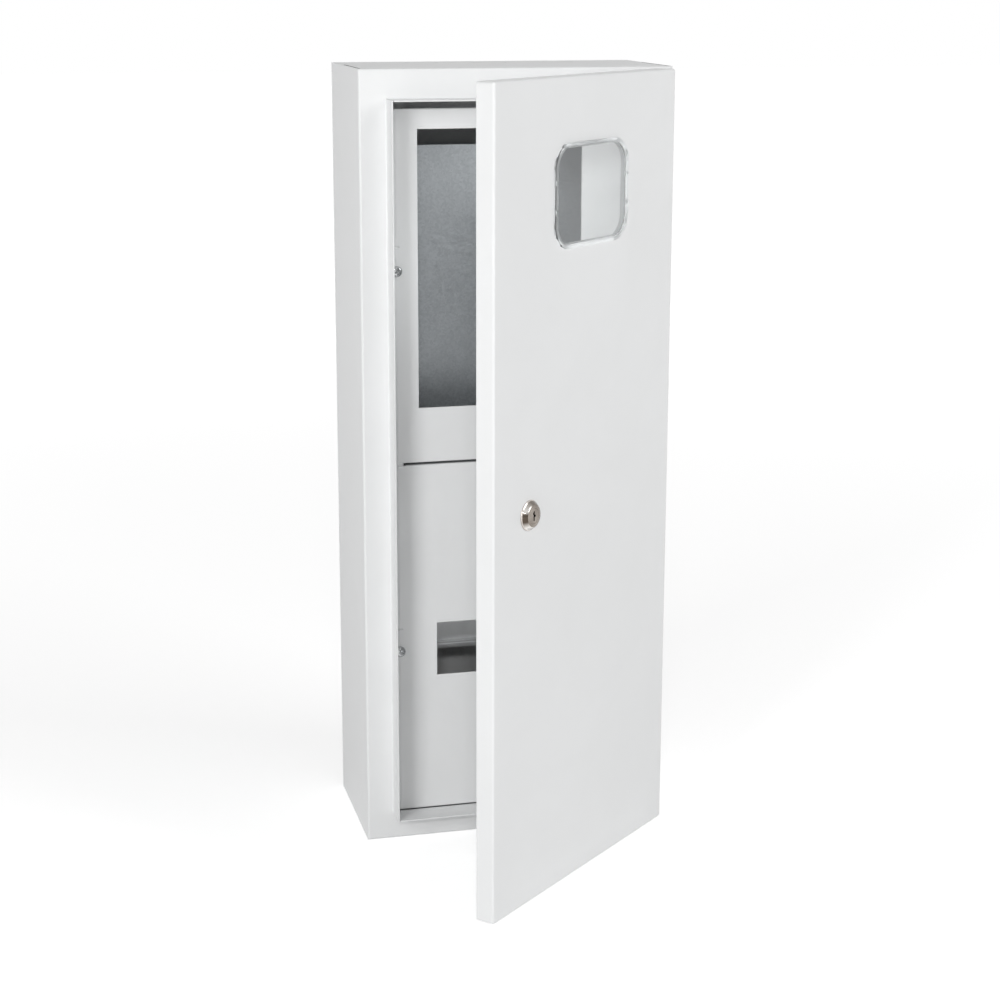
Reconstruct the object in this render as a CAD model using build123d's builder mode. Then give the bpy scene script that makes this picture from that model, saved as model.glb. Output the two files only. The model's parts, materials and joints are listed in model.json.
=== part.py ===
from build123d import *

import os

# Wall-mounted metering cabinet of folded sheet steel, in millimetres, with its door standing open.
# X runs to the right as seen from the front, Y runs back into the wall and Z runs up.
# The origin is the centre of the wall-fixing holes, on the back face of the case.
# A name ending in _level is a distance in front of the wall.

# Case
case_width = 260.0
case_height = 650.0
case_depth = 128.0
case_sheet = 1.2
fold_radius = 2.0
side_flange = 22.3
end_flange = 23.6
lip_height = 22.5
lip_slit = 0.6
seam_slit = 1.8
seam_length = 74.0
knockout_radius = 14.0
knockout_groove = 1.0
knockout_depth = 0.5
knockout_pitch = 59.0
knockout_level = 31.0
fixing_radius = 4.0
fixing_side_inset = 30.0
fixing_end_inset = 30.0

# Door
door_sheet = 1.2
door_gap = 0.8
door_overhang = 0.5
door_end_gap = 1.5
door_fold = 15.8
door_corner_radius = 2.5
hinge_fold = 7.0
door_open = 41.9

# Hinges
hinge_reach = 4.8
hinge_setback = 4.5
hinge_gap = 0.3
hinge_end_inset = 85.0
hinge_leaf = 1.5
hinge_eye_height = 3.0
hinge_leaf_height = 26.0
hinge_leaf_width = 14.0
bracket_length = 16.0
pin_radius = 1.75
pin_clearance = 0.05
pin_head_radius = 2.6
pin_head = 1.0
hinge_fold_relief = 13.0

# Window
window_width = 105.5
window_height = 80.0
window_radius = 20.0
window_offset = 1.5
window_drop = 89.0
window_proud = 2.2
window_rim = 3.4
window_recess = 1.0
window_seat = 2.4
window_pane = 1.8
skirt_wall = 1.2
skirt_depth = 4.0
skirt_clearance = 0.3
clip_pitch = 22.0
clip_width = 5.0
clip_depth = 1.4
clip_bite = 0.9
clip_slot = 1.6

# Lock
lock_inset = 48.0
lock_drop = 327.0
rosette_radius = 12.0
rosette_edge = 1.2
rosette_proud = 4.6
rosette_face_radius = 8.8
barrel_radius = 8.0
barrel_flats = 13.5
barrel_length = 14.0
barrel_clearance = 0.2
plug_radius = 6.0
plug_clearance = 0.05
plug_recess = 0.3
key_slot_width = 1.8
key_slot_height = 7.5
key_slot_depth = 6.0
tail_size = 6.0
tail_clearance = 0.05
cam_gap = 0.2
cam_sheet = 2.0
cam_width = 12.0
cam_length = 23.0
cam_hub_radius = 8.0
cam_screw_radius = 2.0
cam_screw_head_radius = 3.8
cam_screw_head = 2.4
cam_screw_length = 7.0
lock_nut_flats = 22.0
lock_nut_height = 4.0
keeper_sheet = 1.2
keeper_reach = 3.0
keeper_height = 24.0
keeper_leg = 8.0
keeper_gap = 0.4

# Inner panels and their rails
rail_sheet = 1.5
rail_reach = 11.0
rail_leg = 14.0
rail_end_gap = 34.0
rail_side_gap = 2.0
panel_sheet = 1.0
panel_gap = 0.8
panel_top_gap = 6.5
panel_bottom_gap = 0.2
panel_fold = 9.0
panel_split = 2.0
panel_split_height = 329.0
meter_width = 136.0
meter_height = 226.5
meter_margin = 16.2
meter_offset = -15.0
modular_width = 137.5
modular_height = 46.2
modular_margin = 119.6
panel_screw_inset = 6.0
panel_screw_radius = 2.5
panel_screw_head_radius = 4.7
panel_screw_head = 3.4
panel_screw_length = 12.0
panel_screw_clearance = 0.3
seal_slot_length = 5.0
seal_slot_width = 1.6
seal_slot_rise = 19.5

# Meter plate
plate_sheet = 1.5
plate_setback = 61.8
plate_side_gap = 35.0
plate_height = 240.0
plate_drop = 17.5
plate_foot = 16.0
plate_stud_inset = 30.0
plate_slot_length = 60.0
plate_slot_width = 5.5
plate_slot_inset = 32.0
stud_radius = 3.0
stud_length = 15.0
stud_clearance = 0.3
nut_flats = 10.0
nut_height = 5.0

# Modular rail
din_width = 35.0
din_channel = 27.0
din_depth = 7.5
din_sheet = 1.0
din_end_gap = 30.0
din_setback = 51.3
din_slot_length = 15.0
din_slot_width = 6.2
bracket_inset = 55.0
bracket_sheet = 1.5
bracket_head = 15.0
bracket_foot = 15.0
bracket_height = 25.0
rail_screw_radius = 2.5
rail_screw_head_radius = 4.5
rail_screw_head = 2.6
rail_screw_length = 8.0
rail_screw_clearance = 0.1

# Neutral and earth bars
bar_side_gap = 38.0
bar_spacing = 16.0
bar_height = 9.0
bar_depth = 7.0
bar_rise = 62.0
bar_post_inset = 6.0
bar_post_radius = 6.0
bar_post_length = 22.0
bar_wire_radius = 2.6
bar_wire_pitch = 8.0
bar_wire_count = 7
bar_screw_radius = 2.0
bar_screw_head_radius = 3.0
bar_screw_head = 2.0
bar_screw_length = 12.0
bar_screw_clearance = 0.1
terminal_radius = 2.0
terminal_proud = 1.5

# Earthing studs
earth_stud_radius = 4.0
earth_stud_length = 20.0
earth_stud_inset = 30.0
earth_nut_flats = 13.0
earth_nut_height = 6.5
door_stud_length = 12.0
door_stud_inset = 50.0
door_stud_rise = 40.0

os.makedirs("parts", exist_ok=True)

# Levels and edges that several pieces share
flange_level = case_depth
flange_back_level = case_depth - case_sheet
lip_level = case_depth + lip_height
leaf_back_level = lip_level + door_gap
door_level = leaf_back_level + door_sheet
panel_back_level = flange_back_level
panel_level = panel_back_level + panel_sheet
case_floor = -case_height / 2
lip_width = case_width - 2 * side_flange
lip_span = case_height - 2 * end_flange
mouth_width = lip_width - 2 * case_sheet
mouth_height = lip_span - 2 * case_sheet
bend_radius = fold_radius - case_sheet

door_width = case_width + 2 * door_overhang
door_height = case_height - 2 * door_end_gap
pin_x = lip_width / 2 + hinge_reach
pin_level = door_level - hinge_setback
eye_radius = hinge_setback - door_sheet - hinge_gap
hinge_z = case_height / 2 - hinge_end_inset
hinge_axis = Axis((pin_x, -pin_level, 0), (0, 0, 1))

panel_width = mouth_width - 2 * panel_gap
split_z = case_floor + panel_split_height
lower_bottom = -mouth_height / 2 + panel_bottom_gap
lower_top = split_z - panel_split / 2
upper_bottom = split_z + panel_split / 2
upper_top = mouth_height / 2 - panel_top_gap
meter_z = upper_top - meter_margin - meter_height / 2
modular_z = lower_bottom + modular_margin + modular_height / 2
panel_screw_x = mouth_width / 2 - panel_screw_inset

window_z = door_height / 2 - window_drop
lock_x = -door_width / 2 + lock_inset
lock_z = door_height / 2 - lock_drop

# Case: one folded and welded shell, open at the front inside its lip
with BuildPart() as cavity:
    with BuildSketch(Plane.XZ.offset(case_sheet)):
        Rectangle(case_width - 2 * case_sheet, case_height - 2 * case_sheet)
    extrude(amount=case_depth - 2 * case_sheet)
    fillet(cavity.edges().filter_by(Axis.Y, reverse=True), bend_radius)

with BuildPart() as case:
    with BuildSketch(Plane.XZ):
        Rectangle(case_width, case_height)
    extrude(amount=case_depth)
    fillet(case.edges().filter_by(Axis.Y, reverse=True), fold_radius)
    add(cavity.part, mode=Mode.SUBTRACT)
    # Mouth in the front flange, then the lip that stands forward round it
    with BuildSketch(Plane.XZ.offset(flange_back_level)):
        Rectangle(mouth_width, mouth_height)
    extrude(amount=case_sheet, mode=Mode.SUBTRACT)
    with BuildSketch(Plane.XZ.offset(flange_back_level)):
        Rectangle(lip_width, lip_span)
        Rectangle(mouth_width, mouth_height, mode=Mode.SUBTRACT)
    extrude(amount=case_sheet + lip_height)
    flange_edges = case.edges().filter_by(Axis.Y, reverse=True)
    lip_roots = flange_edges.filter_by_position(Axis.Y, -flange_level, -flange_level)
    lip_roots = lip_roots.filter_by_position(Axis.X, -lip_width / 2, lip_width / 2)
    lip_roots = lip_roots.filter_by_position(Axis.Z, -lip_span / 2, lip_span / 2)
    fillet(lip_roots, bend_radius)
    lip_backs = case.edges().filter_by_position(Axis.Y, -flange_back_level, -flange_back_level)
    lip_backs = lip_backs.filter_by_position(Axis.X, -mouth_width / 2, mouth_width / 2)
    lip_backs = lip_backs.filter_by_position(Axis.Z, -mouth_height / 2, mouth_height / 2)
    fillet(lip_backs, fold_radius)
    # Open joints between the lips at the four corners of the mouth
    with BuildSketch(Plane.XZ.offset(lip_level)):
        with GridLocations(mouth_width - lip_slit, mouth_height + case_sheet, 2, 2):
            Rectangle(lip_slit, 2 * case_sheet)
    extrude(amount=-lip_height, mode=Mode.SUBTRACT)
    # Open seams where the end walls meet the side walls, next to the flange
    with BuildSketch(Plane.XZ.offset(flange_back_level - fold_radius)):
        with GridLocations(case_width - 2 * case_sheet - seam_slit, case_height - case_sheet, 2, 2):
            Rectangle(seam_slit, 2 * case_sheet)
    extrude(amount=-seam_length, mode=Mode.SUBTRACT)
    # Cable knock-outs, marked by a groove in the top and bottom walls
    for side in (1, -1):
        with BuildSketch(Plane.XY.offset(side * case_height / 2)):
            with Locations((0, -knockout_level)):
                with GridLocations(knockout_pitch, 0, 3, 1):
                    Circle(knockout_radius)
                    Circle(knockout_radius - knockout_groove, mode=Mode.SUBTRACT)
        extrude(amount=-side * knockout_depth, mode=Mode.SUBTRACT)
    # Wall-fixing holes
    with BuildSketch(Plane.XZ):
        with GridLocations(
            case_width - 2 * fixing_side_inset, case_height - 2 * fixing_end_inset, 2, 2
        ):
            Circle(fixing_radius)
    extrude(amount=case_sheet, mode=Mode.SUBTRACT)
case.part.label = "case"
export_step(case.part, "parts/case.step")

# Panel rails: angles behind the flange, with a stiffening leg turned back
rail_inner = mouth_width / 2 - rail_reach
rail_outer = case_width / 2 - case_sheet - rail_side_gap
rail_mid = flange_back_level - rail_sheet / 2
rail_span = case_height - 2 * case_sheet - 2 * rail_end_gap
with BuildPart() as panel_rail_left:
    with BuildSketch(Plane.XY.offset(-rail_span / 2)):
        with BuildLine():
            FilletPolyline(
                (-rail_outer, -rail_mid),
                (-rail_inner - rail_sheet / 2, -rail_mid),
                (-rail_inner - rail_sheet / 2, -flange_back_level + rail_leg),
                radius=rail_sheet,
            )
        trace(line_width=rail_sheet)
    extrude(amount=rail_span)
    with BuildSketch(Plane.XZ.offset(flange_back_level)):
        with Locations((-panel_screw_x, meter_z), (-panel_screw_x, modular_z)):
            Circle(panel_screw_radius + pin_clearance)
    extrude(amount=-rail_sheet, mode=Mode.SUBTRACT)
panel_rail_left.part.label = "panel_rail_left"
export_step(panel_rail_left.part, "parts/panel_rail_left.step")

with BuildPart() as panel_rail_right:
    add(mirror(panel_rail_left.part, about=Plane.YZ, mode=Mode.PRIVATE))
panel_rail_right.part.label = "panel_rail_right"
export_step(panel_rail_right.part, "parts/panel_rail_right.step")

# Upper inner panel, with the meter aperture and edges folded back at top and bottom
with BuildPart() as upper_panel:
    with BuildSketch(Plane.YZ.offset(-panel_width / 2)):
        with BuildLine():
            FilletPolyline(
                (-panel_back_level + panel_fold, upper_bottom + panel_sheet / 2),
                (-panel_level + panel_sheet / 2, upper_bottom + panel_sheet / 2),
                (-panel_level + panel_sheet / 2, upper_top - panel_sheet / 2),
                (-panel_back_level + panel_fold, upper_top - panel_sheet / 2),
                radius=panel_sheet,
            )
        trace(line_width=panel_sheet)
    extrude(amount=panel_width)
    # The folded edges stop short of the rails
    with BuildSketch(Plane.XZ.offset(panel_back_level)):
        with Locations((0, (upper_top + upper_bottom) / 2)):
            with GridLocations(panel_width - rail_reach, 0, 2, 1):
                Rectangle(rail_reach + 2 * panel_gap, upper_top - upper_bottom)
    extrude(amount=-panel_fold, mode=Mode.SUBTRACT)
    with BuildSketch(Plane.XZ.offset(panel_level)):
        with Locations((meter_offset, meter_z)):
            Rectangle(meter_width, meter_height)
        with Locations((0, meter_z)):
            with GridLocations(2 * panel_screw_x, 0, 2, 1):
                Circle(panel_screw_radius + panel_screw_clearance)
        with Locations((0, meter_z + seal_slot_rise)):
            with GridLocations(2 * panel_screw_x, 0, 2, 1):
                SlotOverall(seal_slot_length, seal_slot_width)
    extrude(amount=-panel_sheet, mode=Mode.SUBTRACT)
upper_panel.part.label = "upper_panel"
export_step(upper_panel.part, "parts/upper_panel.step")

# Lower inner panel, with the modular aperture
with BuildPart() as lower_panel:
    with BuildSketch(Plane.YZ.offset(-panel_width / 2)):
        with BuildLine():
            FilletPolyline(
                (-panel_back_level + panel_fold, lower_bottom + panel_sheet / 2),
                (-panel_level + panel_sheet / 2, lower_bottom + panel_sheet / 2),
                (-panel_level + panel_sheet / 2, lower_top - panel_sheet / 2),
                (-panel_back_level + panel_fold, lower_top - panel_sheet / 2),
                radius=panel_sheet,
            )
        trace(line_width=panel_sheet)
    extrude(amount=panel_width)
    with BuildSketch(Plane.XZ.offset(panel_back_level)):
        with Locations((0, (lower_top + lower_bottom) / 2)):
            with GridLocations(panel_width - rail_reach, 0, 2, 1):
                Rectangle(rail_reach + 2 * panel_gap, lower_top - lower_bottom)
    extrude(amount=-panel_fold, mode=Mode.SUBTRACT)
    with BuildSketch(Plane.XZ.offset(panel_level)):
        with Locations((0, modular_z)):
            Rectangle(modular_width, modular_height)
            with GridLocations(2 * panel_screw_x, 0, 2, 1):
                Circle(panel_screw_radius + panel_screw_clearance)
        with Locations((0, modular_z + seal_slot_rise)):
            with GridLocations(2 * panel_screw_x, 0, 2, 1):
                SlotOverall(seal_slot_length, seal_slot_width)
    extrude(amount=-panel_sheet, mode=Mode.SUBTRACT)
lower_panel.part.label = "lower_panel"
export_step(lower_panel.part, "parts/lower_panel.step")

# Pan-head screws that hold the panels to the rails
with BuildPart() as panel_screws:
    for screw_z in (meter_z, modular_z):
        with BuildSketch(Plane.XZ.offset(panel_level)):
            with Locations((0, screw_z)):
                with GridLocations(2 * panel_screw_x, 0, 2, 1):
                    Circle(panel_screw_head_radius)
        extrude(amount=panel_screw_head)
    crowns = panel_screws.faces().sort_by(Axis.Y)[:4]
    fillet(crowns.edges(), panel_screw_head * 0.6)
    for screw_z in (meter_z, modular_z):
        with BuildSketch(Plane.XZ.offset(panel_level)):
            with Locations((0, screw_z)):
                with GridLocations(2 * panel_screw_x, 0, 2, 1):
                    Circle(panel_screw_radius)
        extrude(amount=-panel_screw_length)
panel_screws.part.label = "panel_screws"
export_step(panel_screws.part, "parts/panel_screws.step")

# Meter plate: a folded bridge that stands on the back wall behind the meter aperture
plate_width = case_width - 2 * case_sheet - 2 * plate_side_gap
plate_level = panel_level - plate_setback
plate_top = meter_z + meter_height / 2 - plate_drop
plate_z = plate_top - plate_height / 2
plate_mid = plate_level - plate_sheet / 2
foot_mid = case_sheet + plate_sheet / 2
leg_x = plate_width / 2 - plate_sheet / 2
foot_x = plate_width / 2 + plate_foot
plate_stud_x = plate_width / 2 + plate_foot / 2
plate_stud_spread = plate_height - 2 * plate_stud_inset
with BuildPart() as meter_plate:
    with BuildSketch(Plane.XY.offset(plate_top - plate_height)):
        with BuildLine():
            FilletPolyline(
                (-foot_x, -foot_mid),
                (-leg_x, -foot_mid),
                (-leg_x, -plate_mid),
                (leg_x, -plate_mid),
                (leg_x, -foot_mid),
                (foot_x, -foot_mid),
                radius=plate_sheet,
            )
        trace(line_width=plate_sheet)
    extrude(amount=plate_height)
    with BuildSketch(Plane.XZ.offset(plate_level)):
        with Locations((meter_offset, plate_z)):
            with GridLocations(plate_width - 2 * plate_slot_inset, 0, 2, 1):
                SlotOverall(plate_slot_length, plate_slot_width, rotation=90)
    extrude(amount=-plate_sheet, mode=Mode.SUBTRACT)
    with BuildSketch(Plane.XZ.offset(case_sheet)):
        with Locations((0, plate_z)):
            with GridLocations(2 * plate_stud_x, plate_stud_spread, 2, 2):
                Circle(stud_radius + stud_clearance)
    extrude(amount=plate_sheet, mode=Mode.SUBTRACT)
meter_plate.part.label = "meter_plate"
export_step(meter_plate.part, "parts/meter_plate.step")

with BuildPart() as plate_studs:
    with BuildSketch(Plane.XZ.offset(case_sheet)):
        with Locations((0, plate_z)):
            with GridLocations(2 * plate_stud_x, plate_stud_spread, 2, 2):
                Circle(stud_radius)
    extrude(amount=stud_length)
plate_studs.part.label = "plate_studs"
export_step(plate_studs.part, "parts/plate_studs.step")

with BuildPart() as plate_nuts:
    with BuildSketch(Plane.XZ.offset(case_sheet + plate_sheet)):
        with Locations((0, plate_z)):
            with GridLocations(2 * plate_stud_x, plate_stud_spread, 2, 2):
                RegularPolygon(nut_flats / 2, 6, major_radius=False)
                Circle(stud_radius + pin_clearance, mode=Mode.SUBTRACT)
    extrude(amount=nut_height)
plate_nuts.part.label = "plate_nuts"
export_step(plate_nuts.part, "parts/plate_nuts.step")

# Top-hat rail behind the modular aperture, with a slot in its web at each bracket
din_length = case_width - 2 * din_end_gap
din_level = panel_level - din_setback
web_back_level = din_level - din_depth
head_x = case_width / 2 - bracket_inset
with BuildPart() as din_rail:
    with BuildSketch(Plane.YZ.offset(-din_length / 2)):
        with BuildLine():
            FilletPolyline(
                (-din_level + din_sheet / 2, modular_z - din_width / 2),
                (-din_level + din_sheet / 2, modular_z - din_channel / 2 + din_sheet / 2),
                (-web_back_level - din_sheet / 2, modular_z - din_channel / 2 + din_sheet / 2),
                (-web_back_level - din_sheet / 2, modular_z + din_channel / 2 - din_sheet / 2),
                (-din_level + din_sheet / 2, modular_z + din_channel / 2 - din_sheet / 2),
                (-din_level + din_sheet / 2, modular_z + din_width / 2),
                radius=din_sheet,
            )
        trace(line_width=din_sheet)
    extrude(amount=din_length)
    with BuildSketch(Plane.XZ.offset(web_back_level)):
        with Locations((0, modular_z)):
            with GridLocations(2 * head_x, 0, 2, 1):
                SlotOverall(din_slot_length, din_slot_width)
    extrude(amount=din_sheet, mode=Mode.SUBTRACT)
din_rail.part.label = "din_rail"
export_step(din_rail.part, "parts/din_rail.step")

# Z brackets that carry the rail off the back wall
head_mid = web_back_level - bracket_sheet / 2
bracket_foot_mid = case_sheet + bracket_sheet / 2
bracket_leg_x = head_x + bracket_head / 2 - bracket_sheet / 2
with BuildPart() as rail_bracket_left:
    with BuildSketch(Plane.XY.offset(modular_z - bracket_height / 2)):
        with BuildLine():
            FilletPolyline(
                (-head_x + bracket_head / 2, -head_mid),
                (-bracket_leg_x, -head_mid),
                (-bracket_leg_x, -bracket_foot_mid),
                (-bracket_leg_x - bracket_foot, -bracket_foot_mid),
                radius=bracket_sheet,
            )
        trace(line_width=bracket_sheet)
    extrude(amount=bracket_height)
    with BuildSketch(Plane.XZ.offset(web_back_level)):
        with Locations((-head_x, modular_z)):
            Circle(rail_screw_radius + rail_screw_clearance)
    extrude(amount=-bracket_sheet, mode=Mode.SUBTRACT)
rail_bracket_left.part.label = "rail_bracket_left"
export_step(rail_bracket_left.part, "parts/rail_bracket_left.step")

with BuildPart() as rail_bracket_right:
    add(mirror(rail_bracket_left.part, about=Plane.YZ, mode=Mode.PRIVATE))
rail_bracket_right.part.label = "rail_bracket_right"
export_step(rail_bracket_right.part, "parts/rail_bracket_right.step")

with BuildPart() as rail_screws:
    with BuildSketch(Plane.XZ.offset(web_back_level + din_sheet)):
        with Locations((0, modular_z)):
            with GridLocations(2 * head_x, 0, 2, 1):
                Circle(rail_screw_head_radius)
    extrude(amount=rail_screw_head)
    with BuildSketch(Plane.XZ.offset(web_back_level + din_sheet)):
        with Locations((0, modular_z)):
            with GridLocations(2 * head_x, 0, 2, 1):
                Circle(rail_screw_radius)
    extrude(amount=-rail_screw_length)
rail_screws.part.label = "rail_screws"
export_step(rail_screws.part, "parts/rail_screws.step")

# Neutral bar on moulded insulators, and earth bar on metal posts, side by side on the back wall
bar_z = case_floor + bar_rise
post_level = case_sheet + bar_post_length
bar_length = case_width / 2 - bar_side_gap - bar_spacing / 2
bar_post_pitch = bar_length - 2 * bar_post_inset
neutral_x = -(bar_spacing + bar_length) / 2
earth_x = (bar_spacing + bar_length) / 2
with BuildPart() as neutral_bar:
    with BuildSketch(Plane.XZ.offset(post_level)):
        with Locations((neutral_x, bar_z)):
            Rectangle(bar_length, bar_height)
            with GridLocations(bar_post_pitch, 0, 2, 1):
                Circle(bar_screw_radius + bar_screw_clearance, mode=Mode.SUBTRACT)
    extrude(amount=bar_depth)
    with BuildSketch(Plane.XY.offset(bar_z - bar_height / 2)):
        with Locations((neutral_x, -post_level - bar_depth / 2)):
            with GridLocations(bar_wire_pitch, 0, bar_wire_count, 1):
                Circle(bar_wire_radius)
    extrude(amount=bar_height, mode=Mode.SUBTRACT)
neutral_bar.part.label = "neutral_bar"
export_step(neutral_bar.part, "parts/neutral_bar.step")

with BuildPart() as neutral_insulators:
    with BuildSketch(Plane.XZ.offset(case_sheet)):
        with Locations((neutral_x, bar_z)):
            with GridLocations(bar_post_pitch, 0, 2, 1):
                Circle(bar_post_radius)
    extrude(amount=bar_post_length, taper=4)
    with BuildSketch(Plane.XZ.offset(post_level)):
        with Locations((neutral_x, bar_z)):
            with GridLocations(bar_post_pitch, 0, 2, 1):
                Circle(bar_screw_radius + bar_screw_clearance)
    extrude(amount=-bar_screw_length, mode=Mode.SUBTRACT)
neutral_insulators.part.label = "neutral_insulators"
export_step(neutral_insulators.part, "parts/neutral_insulators.step")

with BuildPart() as earth_bar:
    add(mirror(neutral_bar.part, about=Plane.YZ, mode=Mode.PRIVATE))
earth_bar.part.label = "earth_bar"
export_step(earth_bar.part, "parts/earth_bar.step")

with BuildPart() as earth_posts:
    with BuildSketch(Plane.XZ.offset(case_sheet)):
        with Locations((earth_x, bar_z)):
            with GridLocations(bar_post_pitch, 0, 2, 1):
                RegularPolygon(nut_flats / 2, 6, major_radius=False)
    extrude(amount=bar_post_length)
    with BuildSketch(Plane.XZ.offset(post_level)):
        with Locations((earth_x, bar_z)):
            with GridLocations(bar_post_pitch, 0, 2, 1):
                Circle(bar_screw_radius + bar_screw_clearance)
    extrude(amount=-bar_screw_length, mode=Mode.SUBTRACT)
earth_posts.part.label = "earth_posts"
export_step(earth_posts.part, "parts/earth_posts.step")

with BuildPart() as bar_screws:
    with BuildSketch(Plane.XZ.offset(post_level + bar_depth)):
        with Locations((neutral_x, bar_z), (earth_x, bar_z)):
            with GridLocations(bar_post_pitch, 0, 2, 1):
                Circle(bar_screw_head_radius)
    extrude(amount=bar_screw_head)
    with BuildSketch(Plane.XZ.offset(post_level + bar_depth)):
        with Locations((neutral_x, bar_z), (earth_x, bar_z)):
            with GridLocations(bar_post_pitch, 0, 2, 1):
                Circle(bar_screw_radius)
    extrude(amount=-bar_screw_length)
bar_screws.part.label = "bar_screws"
export_step(bar_screws.part, "parts/bar_screws.step")

with BuildPart() as terminal_screws:
    with BuildSketch(Plane.XZ.offset(post_level + bar_depth)):
        with Locations((neutral_x, bar_z), (earth_x, bar_z)):
            with GridLocations(bar_wire_pitch, 0, bar_wire_count, 1):
                Circle(terminal_radius)
    extrude(amount=terminal_proud)
terminal_screws.part.label = "terminal_screws"
export_step(terminal_screws.part, "parts/terminal_screws.step")

# Earthing stud and nut on the back wall
earth_stud_x = case_width / 2 - earth_stud_inset
with BuildPart() as earth_stud:
    with BuildSketch(Plane.XZ.offset(case_sheet)):
        with Locations((earth_stud_x, bar_z)):
            Circle(earth_stud_radius)
    extrude(amount=earth_stud_length)
earth_stud.part.label = "earth_stud"
export_step(earth_stud.part, "parts/earth_stud.step")

with BuildPart() as earth_nut:
    with BuildSketch(Plane.XZ.offset(case_sheet)):
        with Locations((earth_stud_x, bar_z)):
            RegularPolygon(earth_nut_flats / 2, 6, major_radius=False)
            Circle(earth_stud_radius + pin_clearance, mode=Mode.SUBTRACT)
    extrude(amount=earth_nut_height)
earth_nut.part.label = "earth_nut"
export_step(earth_nut.part, "parts/earth_nut.step")

# Hinge brackets on the outside of the lip: a leaf welded to the lip and an eye for the pin
lip_face_x = lip_width / 2
with BuildPart() as hinge_bracket_upper:
    with BuildSketch(Plane.XY.offset(hinge_z)):
        with BuildLine():
            Polyline(
                (pin_x, -pin_level - eye_radius),
                (lip_face_x, -pin_level - eye_radius),
                (lip_face_x, -pin_level - eye_radius + bracket_length),
                (pin_x, -pin_level - eye_radius + bracket_length),
                (pin_x + eye_radius, -pin_level),
            )
            RadiusArc((pin_x + eye_radius, -pin_level), (pin_x, -pin_level - eye_radius), eye_radius)
        make_face()
        with Locations((pin_x, -pin_level)):
            Circle(pin_radius + pin_clearance, mode=Mode.SUBTRACT)
    extrude(amount=-hinge_eye_height)
    with BuildSketch(Plane.XY.offset(hinge_z - hinge_eye_height)):
        with Locations((lip_face_x, -lip_level)):
            Rectangle(hinge_leaf, bracket_length - hinge_gap, align=(Align.MIN, Align.MIN))
    extrude(amount=hinge_eye_height - hinge_leaf_height)
hinge_bracket_upper.part.label = "hinge_bracket_upper"
export_step(hinge_bracket_upper.part, "parts/hinge_bracket_upper.step")

with BuildPart() as hinge_bracket_lower:
    with Locations((0, 0, -2 * hinge_z)):
        add(hinge_bracket_upper.part)
hinge_bracket_lower.part.label = "hinge_bracket_lower"
export_step(hinge_bracket_lower.part, "parts/hinge_bracket_lower.step")

# Headed pins, held in the bracket's eye and standing up through the door's eye
with BuildPart() as hinge_pin_upper:
    with BuildSketch(Plane.XY.offset(hinge_z - hinge_eye_height)):
        with Locations((pin_x, -pin_level)):
            Circle(pin_head_radius)
    extrude(amount=-pin_head)
    with BuildSketch(Plane.XY.offset(hinge_z - hinge_eye_height)):
        with Locations((pin_x, -pin_level)):
            Circle(pin_radius)
    extrude(amount=2 * hinge_eye_height + hinge_gap + pin_head)
    chamfer(hinge_pin_upper.edges().sort_by(Axis.Z)[-1], pin_radius / 4)
hinge_pin_upper.part.label = "hinge_pin_upper"
export_step(hinge_pin_upper.part, "parts/hinge_pin_upper.step")

with BuildPart() as hinge_pin_lower:
    with Locations((0, 0, -2 * hinge_z)):
        add(hinge_pin_upper.part)
hinge_pin_lower.part.label = "hinge_pin_lower"
export_step(hinge_pin_lower.part, "parts/hinge_pin_lower.step")

# Keeper inside the left lip: the lock's cam turns behind its forward leaf
cam_front_level = leaf_back_level - barrel_length - cam_gap
keeper_back_level = cam_front_level + keeper_gap
keeper_mid_level = keeper_back_level + keeper_sheet / 2
keeper_mid_x = -mouth_width / 2 + keeper_sheet / 2
with BuildPart() as lock_keeper:
    with BuildSketch(Plane.XY.offset(lock_z - keeper_height / 2)):
        with BuildLine():
            FilletPolyline(
                (keeper_mid_x, -keeper_back_level - keeper_leg),
                (keeper_mid_x, -keeper_mid_level),
                (-mouth_width / 2 + keeper_reach, -keeper_mid_level),
                radius=keeper_sheet,
            )
        trace(line_width=keeper_sheet)
    extrude(amount=keeper_height)
lock_keeper.part.label = "lock_keeper"
export_step(lock_keeper.part, "parts/lock_keeper.step")

# The door's pieces are drawn closed, then swung open about the hinge pins

# Door leaf: a folded tray, with a shorter fold on the hinge side so that it clears the flange
with BuildPart() as door_leaf:
    with BuildSketch(Plane.XZ.offset(door_level)):
        Rectangle(door_width, door_height)
    extrude(amount=-door_fold)
    fillet(door_leaf.edges().filter_by(Axis.Y), door_corner_radius)
    fillet(door_leaf.faces().sort_by(Axis.Y)[0].edges(), fold_radius)
    offset(amount=-door_sheet, openings=door_leaf.faces().sort_by(Axis.Y)[-1])
    with BuildSketch(Plane.XZ.offset(door_level - hinge_fold)):
        with Locations((pin_x + hinge_fold_relief, 0)):
            Rectangle(door_width, door_height, align=(Align.MIN, Align.CENTER))
    extrude(amount=-door_fold, mode=Mode.SUBTRACT)
    with BuildSketch(Plane.XZ.offset(leaf_back_level)):
        with Locations((window_offset, window_z)):
            RectangleRounded(
                window_width - 2 * window_seat,
                window_height - 2 * window_seat,
                window_radius - window_seat,
            )
    extrude(amount=door_sheet, mode=Mode.SUBTRACT)
    # Round lock hole with two flats that keep the barrel from turning
    with BuildSketch(Plane.XZ.offset(leaf_back_level)):
        with Locations((lock_x, lock_z)):
            Circle(barrel_radius + barrel_clearance)
            Rectangle(
                barrel_flats + 2 * barrel_clearance,
                2 * barrel_radius + 2 * barrel_clearance,
                mode=Mode.INTERSECT,
            )
    extrude(amount=door_sheet, mode=Mode.SUBTRACT)
door_leaf.part = door_leaf.part.rotate(hinge_axis, door_open)
door_leaf.part.label = "door_leaf"
export_step(door_leaf.part, "parts/door_leaf.step")

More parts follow.
